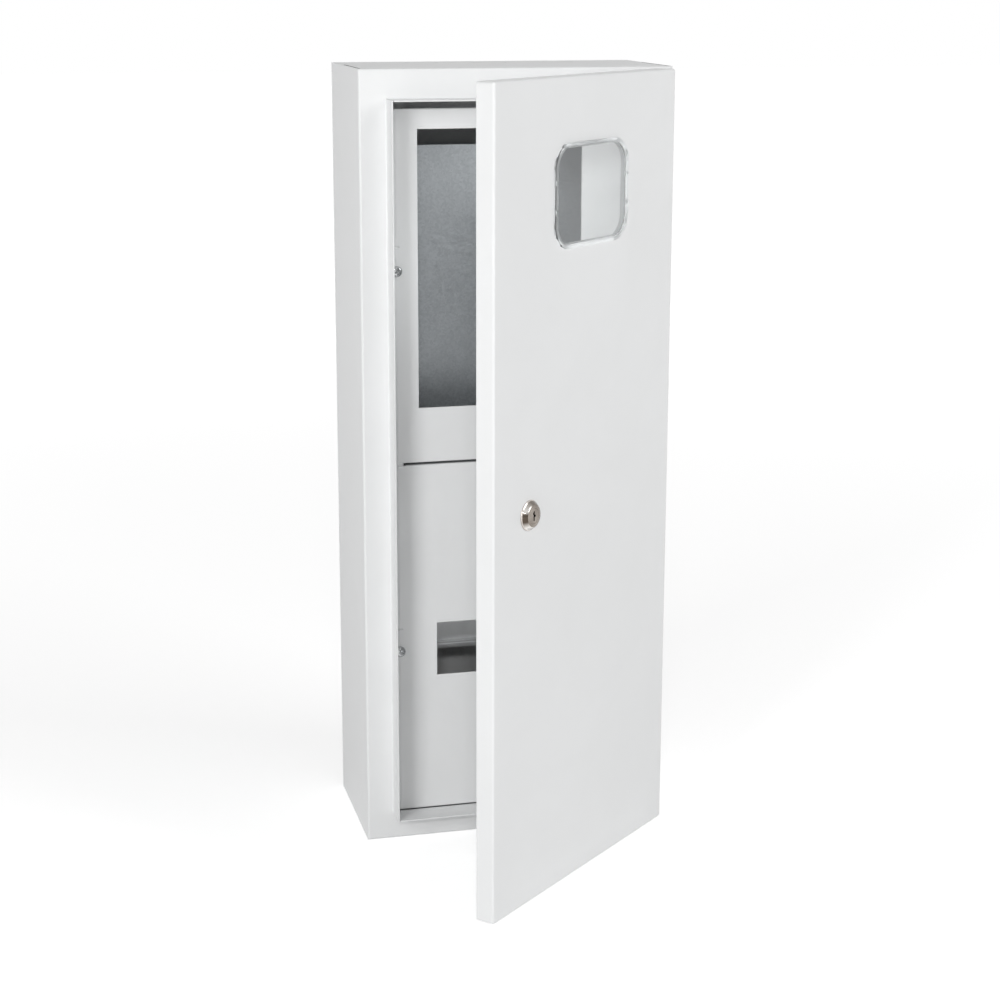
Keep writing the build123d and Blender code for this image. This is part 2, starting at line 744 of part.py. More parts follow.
# Hinge eyes welded inside the leaf, turning on the pins just above the case's eyes
door_eye_z = hinge_z + hinge_gap
with BuildPart() as door_hinge_upper:
    with BuildSketch(Plane.XY.offset(door_eye_z)):
        with Locations((pin_x, -leaf_back_level)):
            Rectangle(2 * eye_radius, hinge_setback - door_sheet, align=(Align.CENTER, Align.MIN))
        with Locations((pin_x, -pin_level)):
            Circle(eye_radius)
            Circle(pin_radius + pin_clearance, mode=Mode.SUBTRACT)
    extrude(amount=hinge_eye_height)
    with BuildSketch(Plane.XY.offset(door_eye_z + hinge_eye_height)):
        with Locations((pin_x - eye_radius, -leaf_back_level)):
            Rectangle(hinge_leaf_width, hinge_leaf, align=Align.MIN)
    extrude(amount=hinge_leaf_height - hinge_eye_height)
hinge_upper_closed = door_hinge_upper.part
door_hinge_upper.part = hinge_upper_closed.rotate(hinge_axis, door_open)
door_hinge_upper.part.label = "door_hinge_upper"
export_step(door_hinge_upper.part, "parts/door_hinge_upper.step")

with BuildPart() as door_hinge_lower:
    with Locations((0, 0, -2 * hinge_z)):
        add(hinge_upper_closed)
door_hinge_lower.part = door_hinge_lower.part.rotate(hinge_axis, door_open)
door_hinge_lower.part.label = "door_hinge_lower"
export_step(door_hinge_lower.part, "parts/door_hinge_lower.step")

# Window: a clear moulding with a raised rim in front and a clipped skirt through the leaf
window_level = door_level + window_proud
skirt_width = window_width - 2 * window_seat - 2 * skirt_clearance
skirt_height = window_height - 2 * window_seat - 2 * skirt_clearance
skirt_radius = window_radius - window_seat - skirt_clearance
glazed_width = window_width - 2 * window_rim
glazed_height = window_height - 2 * window_rim
with BuildPart() as window:
    with BuildSketch(Plane.XZ.offset(door_level)):
        with Locations((window_offset, window_z)):
            RectangleRounded(window_width, window_height, window_radius)
    extrude(amount=window_proud)
    fillet(window.faces().sort_by(Axis.Y)[0].edges(), window_proud / 2)
    with BuildSketch(Plane.XZ.offset(door_level)):
        with Locations((window_offset, window_z)):
            RectangleRounded(skirt_width, skirt_height, skirt_radius)
    extrude(amount=-skirt_depth)
    # Shallow recess in front and deep one behind leave the pane between them
    with BuildSketch(Plane.XZ.offset(window_level)):
        with Locations((window_offset, window_z)):
            RectangleRounded(glazed_width, glazed_height, window_radius - window_rim)
    extrude(amount=-window_recess, mode=Mode.SUBTRACT)
    with BuildSketch(Plane.XZ.offset(window_level - window_recess - window_pane)):
        with Locations((window_offset, window_z)):
            RectangleRounded(
                skirt_width - 2 * skirt_wall,
                skirt_height - 2 * skirt_wall,
                skirt_radius - skirt_wall,
            )
    extrude(amount=-skirt_depth - window_proud, mode=Mode.SUBTRACT)
    # Snap clips behind the leaf
    with BuildSketch(Plane.XZ.offset(leaf_back_level - hinge_gap)):
        with Locations((window_offset, window_z)):
            with GridLocations(skirt_width, clip_pitch, 2, 2):
                Rectangle(2 * clip_bite + 2 * skirt_clearance, clip_width)
    extrude(amount=-clip_depth)
    # Slots in the rim in front of the clips
    with BuildSketch(Plane.XZ.offset(door_level)):
        with Locations((window_offset, window_z)):
            with GridLocations(skirt_width + clip_slot, clip_pitch, 2, 2):
                Rectangle(clip_slot, clip_width)
    extrude(amount=window_proud, mode=Mode.SUBTRACT)
window.part = window.part.rotate(hinge_axis, door_open)
window.part.label = "window"
export_step(window.part, "parts/window.step")

# Lock: a turned rosette and barrel with two flats, clamped to the leaf by a nut
lock_plane = Plane(origin=(lock_x, -door_level, lock_z), x_dir=(1, 0, 0), z_dir=(0, 0, -1))
with BuildPart() as lock_body:
    with BuildSketch(lock_plane):
        with BuildLine():
            Polyline(
                (plug_radius + plug_clearance, rosette_proud),
                (rosette_face_radius, rosette_proud),
                (rosette_radius - rosette_edge, rosette_edge),
                (rosette_radius, rosette_edge),
                (rosette_radius, 0),
                (barrel_radius, 0),
                (barrel_radius, -door_sheet - barrel_length),
                (plug_radius + plug_clearance, -door_sheet - barrel_length),
                close=True,
            )
        make_face()
    revolve(axis=Axis(lock_plane.origin, (0, 1, 0)))
    rims = lock_body.edges().filter_by(GeomType.CIRCLE).group_by(Axis.Y)
    fillet(rims[0].sort_by(SortBy.RADIUS)[-1], rosette_edge)
    with BuildSketch(Plane.XZ.offset(door_level)):
        with Locations((lock_x, lock_z)):
            Circle(rosette_radius)
            Rectangle(barrel_flats, 2 * rosette_radius, mode=Mode.SUBTRACT)
    extrude(amount=-door_sheet - barrel_length, mode=Mode.SUBTRACT)
lock_body.part = lock_body.part.rotate(hinge_axis, door_open)
lock_body.part.label = "lock_body"
export_step(lock_body.part, "parts/lock_body.step")

with BuildPart() as lock_nut:
    with BuildSketch(Plane.XZ.offset(leaf_back_level)):
        with Locations((lock_x, lock_z)):
            RegularPolygon(lock_nut_flats / 2, 6, major_radius=False)
            Circle(barrel_radius + pin_clearance, mode=Mode.SUBTRACT)
    extrude(amount=-lock_nut_height)
lock_nut.part = lock_nut.part.rotate(hinge_axis, door_open)
lock_nut.part.label = "lock_nut"
export_step(lock_nut.part, "parts/lock_nut.step")

# Keyed plug with a square tail for the cam
plug_level = door_level + rosette_proud - plug_recess
barrel_end_level = leaf_back_level - barrel_length
cam_back_level = cam_front_level - cam_sheet
with BuildPart() as lock_plug:
    with BuildSketch(Plane.XZ.offset(barrel_end_level)):
        with Locations((lock_x, lock_z)):
            Circle(plug_radius)
    extrude(amount=plug_level - barrel_end_level)
    with BuildSketch(Plane.XZ.offset(plug_level)):
        with Locations((lock_x, lock_z)):
            Rectangle(key_slot_width, key_slot_height)
    extrude(amount=-key_slot_depth, mode=Mode.SUBTRACT)
    with BuildSketch(Plane.XZ.offset(barrel_end_level)):
        with Locations((lock_x, lock_z)):
            Rectangle(tail_size, tail_size)
    extrude(amount=cam_back_level - barrel_end_level)
    with BuildSketch(Plane.XZ.offset(cam_back_level)):
        with Locations((lock_x, lock_z)):
            Circle(cam_screw_radius + pin_clearance)
    extrude(amount=cam_screw_length, mode=Mode.SUBTRACT)
lock_plug.part = lock_plug.part.rotate(hinge_axis, door_open)
lock_plug.part.label = "lock_plug"
export_step(lock_plug.part, "parts/lock_plug.step")

# Cam, hanging down when unlocked
with BuildPart() as lock_cam:
    with BuildSketch(Plane.XZ.offset(cam_front_level)):
        with Locations((lock_x, lock_z)):
            Circle(cam_hub_radius)
            Rectangle(cam_width, cam_length, align=(Align.CENTER, Align.MAX))
            Rectangle(
                tail_size + 2 * tail_clearance, tail_size + 2 * tail_clearance, mode=Mode.SUBTRACT
            )
    extrude(amount=-cam_sheet)
    fillet(lock_cam.edges().filter_by(Axis.Y).group_by(Axis.Z)[0], cam_width / 4)
lock_cam.part = lock_cam.part.rotate(hinge_axis, door_open)
lock_cam.part.label = "lock_cam"
export_step(lock_cam.part, "parts/lock_cam.step")

with BuildPart() as cam_screw:
    with BuildSketch(Plane.XZ.offset(cam_back_level)):
        with Locations((lock_x, lock_z)):
            Circle(cam_screw_head_radius + tail_clearance)
    extrude(amount=-cam_screw_head)
    fillet(cam_screw.faces().sort_by(Axis.Y)[-1].edges(), cam_screw_head / 2)
    with BuildSketch(Plane.XZ.offset(cam_back_level)):
        with Locations((lock_x, lock_z)):
            Circle(cam_screw_radius)
    extrude(amount=cam_screw_length - pin_clearance)
cam_screw.part = cam_screw.part.rotate(hinge_axis, door_open)
cam_screw.part.label = "cam_screw"
export_step(cam_screw.part, "parts/cam_screw.step")

# Earthing stud and nut inside the leaf
door_stud_x = mouth_width / 2 - door_stud_inset
door_stud_z = -mouth_height / 2 + door_stud_rise
with BuildPart() as door_earth_stud:
    with BuildSketch(Plane.XZ.offset(leaf_back_level)):
        with Locations((door_stud_x, door_stud_z)):
            Circle(stud_radius)
    extrude(amount=-door_stud_length)
door_earth_stud.part = door_earth_stud.part.rotate(hinge_axis, door_open)
door_earth_stud.part.label = "door_earth_stud"
export_step(door_earth_stud.part, "parts/door_earth_stud.step")

with BuildPart() as door_earth_nut:
    with BuildSketch(Plane.XZ.offset(leaf_back_level)):
        with Locations((door_stud_x, door_stud_z)):
            RegularPolygon(nut_flats / 2, 6, major_radius=False)
            Circle(stud_radius + pin_clearance, mode=Mode.SUBTRACT)
    extrude(amount=-nut_height)
door_earth_nut.part = door_earth_nut.part.rotate(hinge_axis, door_open)
door_earth_nut.part.label = "door_earth_nut"
export_step(door_earth_nut.part, "parts/door_earth_nut.step")
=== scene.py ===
import json
import logging
import math
from collections.abc import Callable
from dataclasses import dataclass
from enum import Enum

import bmesh
import bpy
from mathutils import Matrix, Vector


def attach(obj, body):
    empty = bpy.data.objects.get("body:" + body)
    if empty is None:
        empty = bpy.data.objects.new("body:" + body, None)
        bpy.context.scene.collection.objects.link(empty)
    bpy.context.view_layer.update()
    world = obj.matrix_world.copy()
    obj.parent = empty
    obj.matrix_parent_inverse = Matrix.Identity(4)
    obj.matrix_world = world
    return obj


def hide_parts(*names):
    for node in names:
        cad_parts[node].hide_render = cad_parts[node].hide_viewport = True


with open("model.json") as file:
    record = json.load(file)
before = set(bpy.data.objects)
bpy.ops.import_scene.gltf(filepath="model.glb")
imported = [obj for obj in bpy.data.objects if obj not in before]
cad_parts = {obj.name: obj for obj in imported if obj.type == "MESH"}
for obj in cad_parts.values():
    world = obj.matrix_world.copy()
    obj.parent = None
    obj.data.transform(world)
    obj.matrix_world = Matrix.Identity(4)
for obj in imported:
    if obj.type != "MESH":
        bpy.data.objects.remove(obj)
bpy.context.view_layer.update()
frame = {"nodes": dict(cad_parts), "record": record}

LOG = logging.getLogger("cabinet")
MM = 0.001
WELD_MM = 0.0005
NEAR_MM = 1e-4
NOISE_LOW = 0.3
NOISE_HIGH = 0.7
SIDES = ((-1, -1), (-1, 1), (1, -1), (1, 1))
# Painted reflections on the lock's flank: a near-black reflected band and bright highlights at fixed
# angles round its axis.
FLANK_PAINTED_REFLECTIONS = (
    (0.0, (0.09, 0.072, 0.057)),
    (0.055, (0.1, 0.08, 0.063)),
    (0.095, (0.42, 0.39, 0.36)),
    (0.15, (0.72, 0.7, 0.675)),
    (0.25, (0.66, 0.635, 0.61)),
    (0.3, (0.26, 0.23, 0.2)),
    (0.42, (0.4, 0.37, 0.34)),
    (0.55, (0.22, 0.195, 0.17)),
    (0.65, (0.3, 0.27, 0.24)),
    (0.76, (0.2, 0.175, 0.152)),
    (0.84, (0.46, 0.43, 0.4)),
    (0.91, (0.74, 0.72, 0.695)),
    (0.955, (0.13, 0.106, 0.086)),
    (1.0, (0.09, 0.072, 0.057)),
)
# Nickel tone of the lock's face, with painted sheen: lighter and darker bands at fixed angles round its
# axis.
FACE_PAINTED_SHEEN = (
    (0.0, (0.31, 0.275, 0.243)),
    (0.12, (0.25, 0.22, 0.192)),
    (0.3, (0.33, 0.295, 0.26)),
    (0.5, (0.28, 0.247, 0.217)),
    (0.7, (0.24, 0.21, 0.184)),
    (0.85, (0.34, 0.305, 0.27)),
    (1.0, (0.31, 0.275, 0.243)),
)


class Slot(Enum):
    """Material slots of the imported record."""

    COAT = "powder_coat"
    ZINC = "zinc"
    NICKEL = "nickel"
    BRASS = "brass"
    INSULATOR = "insulator"
    CLEAR = "clear"


class Body(Enum):
    """CAD bodies that pieces ride on."""

    CASE = "case"
    DOOR = "door"
    LOCK = "lock"


class Graph:
    """Adds nodes and links to one node tree."""

    def __init__(self, tree: bpy.types.NodeTree) -> None:
        """Keeps the tree.

        Args:
            tree: node tree of a material, a world or a group.
        """
        self.tree = tree

    def add(self, kind: str, values: dict | None = None, **settings: object) -> bpy.types.Node:
        """Adds a node.

        Args:
            kind: node type without its ShaderNode prefix, or a full type name.
            values: default values of input sockets, by name or index.
            settings: attributes of the node.

        Returns:
            The new node.
        """
        full = kind if kind.startswith("Node") else "ShaderNode" + kind
        node = self.tree.nodes.new(full)
        for key, value in settings.items():
            setattr(node, key, value)
        for key, value in (values or {}).items():
            node.inputs[key].default_value = value
        return node

    def link(self, source: bpy.types.NodeSocket, target: bpy.types.NodeSocket) -> None:
        """Joins an output socket to an input socket."""
        self.tree.links.new(source, target)

    def math(self, operation: str, first: object, second: object) -> bpy.types.NodeSocket:
        """Adds a Math node.

        Args:
            operation: name of the operation.
            first: socket or number.
            second: socket or number.

        Returns:
            The node's output socket.
        """
        node = self.add("Math", operation=operation)
        for socket, operand in zip(node.inputs, (first, second)):
            if isinstance(operand, (int, float)):
                socket.default_value = operand
            else:
                self.link(operand, socket)
        return node.outputs[0]

    def share(self, first: object, second: object, part: float) -> bpy.types.NodeSocket:
        """Adds two values by their shares.

        Args:
            first: socket of the first value.
            second: socket of the second value.
            part: share of the first, from 0 to 1.

        Returns:
            The sum's socket.
        """
        rest = self.math("MULTIPLY", second, 1.0 - part)
        return self.math("ADD", self.math("MULTIPLY", first, part), rest)


class Effects:
    """Shader node groups that several finishes share."""

    flake_part: float = 0.45
    flake_bend: float = 0.003
    line_stretch: float = 0.02

    def __init__(self) -> None:
        """Builds each group once."""
        self.grain = self._grain()
        self.spangle = self._spangle()
        self.brushing = self._brushing()
        self.inside = self._inside()

    @staticmethod
    def _start(
        name: str, inputs: dict[str, float], outputs: tuple[str, ...]
    ) -> tuple[Graph, bpy.types.Node, bpy.types.Node]:
        """Makes an empty group with a Vector input.

        Args:
            name: name of the group.
            inputs: names and defaults of its number inputs.
            outputs: names of its number outputs.

        Returns:
            The graph and its input and output nodes.
        """
        tree = bpy.data.node_groups.new(name, "ShaderNodeTree")
        tree.interface.new_socket("Vector", in_out="INPUT", socket_type="NodeSocketVector")
        for label, value in inputs.items():
            socket = tree.interface.new_socket(label, in_out="INPUT", socket_type="NodeSocketFloat")
            socket.default_value = value
        for label in outputs:
            tree.interface.new_socket(label, in_out="OUTPUT", socket_type="NodeSocketFloat")
        graph = Graph(tree)
        return graph, graph.add("NodeGroupInput"), graph.add("NodeGroupOutput")

    def _grain(self) -> bpy.types.NodeTree:
        """Fine skin of a coat or moulding: a slow tone and a fine height."""
        graph, source, sink = self._start(
            "fine_grain", {"Fine Scale": 900.0, "Slow Scale": 14.0}, ("Tone", "Height", "Gloss")
        )
        fine = graph.add("TexNoise", {"Detail": 3.0, "Roughness": 0.55})
        slow = graph.add("TexNoise", {"Detail": 4.0, "Roughness": 0.6, "Distortion": 0.4})
        for node, label in ((fine, "Fine Scale"), (slow, "Slow Scale")):
            graph.link(source.outputs["Vector"], node.inputs["Vector"])
            graph.link(source.outputs[label], node.inputs["Scale"])
        graph.link(slow.outputs["Fac"], sink.inputs["Tone"])
        graph.link(fine.outputs["Fac"], sink.inputs["Height"])
        graph.link(graph.share(fine.outputs["Fac"], slow.outputs["Fac"], 0.5), sink.inputs["Gloss"])
        return graph.tree

    def _spangle(self) -> bpy.types.NodeTree:
        """Crystal flakes of hot-dip zinc: a tone for each flake and a cloudy stain."""
        graph, source, sink = self._start(
            "zinc_spangle", {"Flake Scale": 260.0, "Cloud Scale": 30.0}, ("Tone", "Gloss", "Height")
        )
        bend = graph.add("TexNoise", {"Scale": 180.0, "Detail": 2.0})
        graph.link(source.outputs["Vector"], bend.inputs["Vector"])
        push = graph.add("VectorMath", operation="MULTIPLY_ADD")
        graph.link(bend.outputs["Color"], push.inputs[0])
        push.inputs[1].default_value = (self.flake_bend,) * 3
        graph.link(source.outputs["Vector"], push.inputs[2])
        flakes = graph.add("TexVoronoi", {"Randomness": 1.0}, feature="F1")
        graph.link(push.outputs[0], flakes.inputs["Vector"])
        graph.link(source.outputs["Flake Scale"], flakes.inputs["Scale"])
        split = graph.add("SeparateColor")
        graph.link(flakes.outputs["Color"], split.inputs[0])
        cloud = graph.add("TexNoise", {"Detail": 5.0, "Roughness": 0.65})
        graph.link(source.outputs["Vector"], cloud.inputs["Vector"])
        graph.link(source.outputs["Cloud Scale"], cloud.inputs["Scale"])
        tone = graph.share(split.outputs[0], cloud.outputs["Fac"], self.flake_part)
        graph.link(tone, sink.inputs["Tone"])
        graph.link(split.outputs[1], sink.inputs["Gloss"])
        graph.link(flakes.outputs["Distance"], sink.inputs["Height"])
        return graph.tree

    def _brushing(self) -> bpy.types.NodeTree:
        """Long drawing lines along X on rolled or drawn metal."""
        graph, source, sink = self._start("drawn_lines", {"Line Scale": 900.0}, ("Tone", "Height"))
        stretch = graph.add("VectorMath", operation="MULTIPLY")
        stretch.inputs[1].default_value = (self.line_stretch, 1.0, 1.0)
        graph.link(source.outputs["Vector"], stretch.inputs[0])
        lines = graph.add("TexNoise", {"Detail": 4.0, "Roughness": 0.6})
        graph.link(stretch.outputs[0], lines.inputs["Vector"])
        graph.link(source.outputs["Line Scale"], lines.inputs["Scale"])
        graph.link(lines.outputs["Fac"], sink.inputs["Tone"])
        graph.link(lines.outputs["Fac"], sink.inputs["Height"])
        return graph.tree

    def _inside(self) -> bpy.types.NodeTree:
        """Mask of a box about the origin, from a back to a front that are measured along -Y."""
        graph, source, sink = self._start(
            "inside_box", {"Half X": 0.1, "Half Z": 0.1, "Back": 0.0, "Front": 0.1}, ("Inside",)
        )
        axes = graph.add("SeparateXYZ")
        graph.link(source.outputs["Vector"], axes.inputs[0])
        ahead = graph.math("MULTIPLY", axes.outputs["Y"], -1.0)
        mask = graph.math(
            "MULTIPLY",
            graph.math("LESS_THAN", ahead, source.outputs["Front"]),
            graph.math("GREATER_THAN", ahead, source.outputs["Back"]),
        )
        for axis, label in (("X", "Half X"), ("Z", "Half Z")):
            away = graph.math("ABSOLUTE", axes.outputs[axis], 0.0)
            mask = graph.math("MULTIPLY", mask, graph.math("LESS_THAN", away, source.outputs[label]))
        graph.link(mask, sink.inputs["Inside"])
        return graph.tree


class Paint:
    """Parts of a material that every finish needs."""

    def __init__(self, name: str) -> None:
        """Starts a node material with a Principled shader.

        Args:
            name: name of the material.
        """
        self.material = bpy.data.materials.new(name)
        self.material.use_nodes = True
        self.graph = Graph(self.material.node_tree)
        self.shader = self.material.node_tree.nodes["Principled BSDF"]
        self.place = self.graph.add("TexCoord").outputs["Object"]

    def effect(self, group: bpy.types.NodeTree, values: dict[str, float]) -> bpy.types.Node:
        """Places a shared effect.

        Args:
            group: the effect's node group.
            values: its number inputs.

        Returns:
            The group node.
        """
        node = self.graph.add("Group", node_tree=group)
        for label, value in values.items():
            node.inputs[label].default_value = value
        self.graph.link(self.place, node.inputs["Vector"])
        return node

    def ramp(self, factor: bpy.types.NodeSocket, stops: tuple) -> bpy.types.NodeSocket:
        """Turns a factor into a colour.

        Args:
            factor: socket that varies over the surface.
            stops: (factor, colour) pairs, in rising order.

        Returns:
            The colour's socket.
        """
        node = self.graph.add("ValToRGB")
        elements = node.color_ramp.elements
        while len(elements) < len(stops):
            elements.new(1.0)
        for element, (position, colour) in zip(elements, stops):
            element.position = position
            element.color = (*colour, 1.0)
        self.graph.link(factor, node.inputs[0])
        return node.outputs[0]

    def blend(self, mode: str, factor: object, first: object, second: object) -> bpy.types.NodeSocket:
        """Mixes two colours.

        Args:
            mode: blend type.
            factor: socket or number of how much of the second counts.
            first: socket of the first colour.
            second: socket of the second colour.

        Returns:
            The mixed colour's socket.
        """
        node = self.graph.add("Mix", data_type="RGBA", blend_type=mode)
        if isinstance(factor, float):
            node.inputs[0].default_value = factor
        else:
            self.graph.link(factor, node.inputs[0])
        self.graph.link(first, node.inputs[6])
        self.graph.link(second, node.inputs[7])
        return node.outputs[2]

    def colour(self, source: bpy.types.NodeSocket) -> None:
        """Sets what gives the base colour."""
        self.graph.link(source, self.shader.inputs["Base Color"])

    def tint(
        self, factor: bpy.types.NodeSocket, dark: tuple, light: tuple,
        low: float = NOISE_LOW, high: float = NOISE_HIGH,
    ) -> None:
        """Runs the base colour between two tones.

        Args:
            factor: socket that varies over the surface.
            dark: colour where the factor is low.
            light: colour where the factor is high.
            low: factor that gives the dark colour.
            high: factor that gives the light colour.
        """
        self.colour(self.ramp(factor, ((low, dark), (high, light))))

    def gloss(self, factor: bpy.types.NodeSocket, low: float, high: float) -> None:
        """Runs the roughness between two values.

        Args:
            factor: socket that varies over the surface.
            low: roughness where the factor is low.
            high: roughness where the factor is high.
        """
        span = self.graph.add(
            "MapRange", {"From Min": NOISE_LOW, "From Max": NOISE_HIGH, "To Min": low, "To Max": high}
        )
        self.graph.link(factor, span.inputs["Value"])
        self.graph.link(span.outputs[0], self.shader.inputs["Roughness"])

    def bump(self, height: bpy.types.NodeSocket, strength: float, depth: float, edge: float = 0.0) -> None:
        """Adds relief, over edges that look slightly rounded.

        Args:
            height: socket with the relief.
            strength: how strongly it shows.
            depth: depth of the relief in metres.
            edge: radius of the rounded edges in metres, or 0 for none.
        """
        node = self.graph.add("Bump", {"Strength": strength, "Distance": depth})
        self.graph.link(height, node.inputs["Height"])
        if edge:
            rounding = self.graph.add("Bevel", {"Radius": edge}, samples=4)
            self.graph.link(rounding.outputs[0], node.inputs["Normal"])
        self.graph.link(node.outputs[0], self.shader.inputs["Normal"])

    def surface(self, shader: bpy.types.Node) -> None:
        """Makes a shader node the material's surface."""
        sink = self.material.node_tree.nodes["Material Output"]
        self.graph.link(shader.outputs[0], sink.inputs["Surface"])


@dataclass(frozen=True)
class CoatFinish:
    """Light grey powder coat with a fine orange peel."""

    name: str = "light_grey_coat"
    dark: tuple = (0.802, 0.809, 0.811)
    light: tuple = (0.824, 0.831, 0.834)
    smooth: float = 0.38
    dull: float = 0.5
    peel_scale: float = 1100.0
    peel_depth: float = 0.00005
    peel_strength: float = 0.22
    edge: float = 0.0005
    tone_low: float = 0.35
    tone_high: float = 0.65
    # Painted shade of the case's inside: a darker grey, in the box that the next four sizes give.
    inner_shade_dark: tuple = (0.36, 0.37, 0.375)
    inner_shade_light: tuple = (0.43, 0.44, 0.445)
    inner_half_x: float = 0.1294
    inner_half_z: float = 0.3244
    inner_back: float = 0.002
    inner_front: float = 0.1256
    # Painted shade of the open seams: a near-black line in the thin bands that the next three sizes give.
    seam_shade_dark: tuple = (0.04, 0.041, 0.042)
    seam_shade_light: tuple = (0.06, 0.061, 0.062)
    seam_outer_x: float = 0.1289
    seam_inner_x: float = 0.1266
    seam_half_z: float = 0.32494

    def build(self, effects: Effects) -> bpy.types.Material:
        """Makes the material, with painted shade: darker grey on the case's inside and a near-black line
        along its open seams.
        """
        paint = Paint(self.name)
        skin = paint.effect(effects.grain, {"Fine Scale": self.peel_scale, "Slow Scale": 9.0})
        # The second ramp is painted shade for the case's inside, and the third a near-black painted shade
        # for its open seams.
        outer, inner, seam_shade = (
            paint.ramp(skin.outputs["Tone"], ((self.tone_low, dark), (self.tone_high, light)))
            for dark, light in (
                (self.dark, self.light),
                (self.inner_shade_dark, self.inner_shade_light),
                (self.seam_shade_dark, self.seam_shade_light),
            )
        )
        inside, to_seam, past_seam = (
            self._mask(paint, effects, half_x, half_z)
            for half_x, half_z in (
                (self.inner_half_x, self.inner_half_z),
                (self.seam_outer_x, self.seam_half_z),
                (self.seam_inner_x, self.seam_half_z),
            )
        )
        # Painted shade of the open seams, kept out of the case's inside.
        seam = paint.graph.math("SUBTRACT", to_seam, past_seam)
        near_end = paint.graph.math("SUBTRACT", 1.0, inside)
        # Painted shade: the case's inside takes the darker grey.
        coat = paint.blend("MIX", inside, outer, inner)
        paint.colour(paint.blend("MIX", paint.graph.math("MULTIPLY", seam, near_end), coat, seam_shade))
        paint.gloss(skin.outputs["Gloss"], self.smooth, self.dull)
        paint.bump(skin.outputs["Height"], self.peel_strength, self.peel_depth, self.edge)
        return paint.material

    def _mask(self, paint: Paint, effects: Effects, half_x: float, half_z: float) -> bpy.types.NodeSocket:
        """Mask of a box within the case.

        Args:
            paint: the material in the making.
            effects: the shared node groups.
            half_x: half of the box's width in metres.
            half_z: half of its height in metres.

        Returns:
            The mask's socket.
        """
        box = paint.effect(effects.inside, {
            "Half X": half_x, "Half Z": half_z, "Back": self.inner_back, "Front": self.inner_front,
        })
        return box.outputs["Inside"]


@dataclass(frozen=True)
class ZincFinish:
    """Zinc-coated steel, with flakes where it is hot-dipped."""

    name: str
    dark: tuple = (0.44, 0.465, 0.485)
    light: tuple = (0.53, 0.555, 0.575)
    smooth: float = 0.36
    dull: float = 0.46
    flake_scale: float = 620.0
    relief: float = 0.00006
    relief_strength: float = 0.15
    edge: float = 0.0004
    tone_low: float = 0.25
    tone_high: float = 0.75

    def build(self, effects: Effects) -> bpy.types.Material:
        """Makes the material."""
        paint = Paint(self.name)
        paint.shader.inputs["Metallic"].default_value = 1.0
        flakes = paint.effect(effects.spangle, {"Flake Scale": self.flake_scale, "Cloud Scale": 24.0})
        paint.tint(flakes.outputs["Tone"], self.dark, self.light, self.tone_low, self.tone_high)
        paint.gloss(flakes.outputs["Gloss"], self.smooth, self.dull)
        paint.bump(flakes.outputs["Height"], self.relief_strength, self.relief, self.edge)
        return paint.material


@dataclass(frozen=True)
class DrawnFinish:
    """Metal with fine drawing lines, such as a rolled rail or a brass bar."""

    name: str
    dark: tuple
    light: tuple
    smooth: float = 0.28
    dull: float = 0.45
    line_scale: float = 900.0
    relief: float = 0.00004
    relief_strength: float = 0.2
    edge: float = 0.0003

    def build(self, effects: Effects) -> bpy.types.Material:
        """Makes the material."""
        paint = Paint(self.name)
        paint.shader.inputs["Metallic"].default_value = 1.0
        lines = paint.effect(effects.brushing, {"Line Scale": self.line_scale})
        skin = paint.effect(effects.grain, {"Fine Scale": 500.0, "Slow Scale": 40.0})
        paint.tint(skin.outputs["Tone"], self.dark, self.light)
        paint.gloss(lines.outputs["Tone"], self.smooth, self.dull)
        paint.bump(lines.outputs["Height"], self.relief_strength, self.relief, self.edge)
        return paint.material


@dataclass(frozen=True)
class NickelFinish:
    """Polished nickel plate with faint smudges."""

    name: str = "polished_nickel"
    dark: tuple = (0.43, 0.39, 0.36)
    light: tuple = (0.62, 0.58, 0.545)
    smooth: float = 0.07
    dull: float = 0.17
    relief: float = 0.00002
    relief_strength: float = 0.05

    def build(self, effects: Effects) -> bpy.types.Material:
        """Makes the material."""
        paint = Paint(self.name)
        paint.shader.inputs["Metallic"].default_value = 1.0
        skin = paint.effect(effects.grain, {"Fine Scale": 2600.0, "Slow Scale": 160.0})
        paint.tint(skin.outputs["Tone"], self.dark, self.light)
        paint.gloss(skin.outputs["Tone"], self.smooth, self.dull)
        paint.bump(skin.outputs["Height"], self.relief_strength, self.relief)
        return paint.material


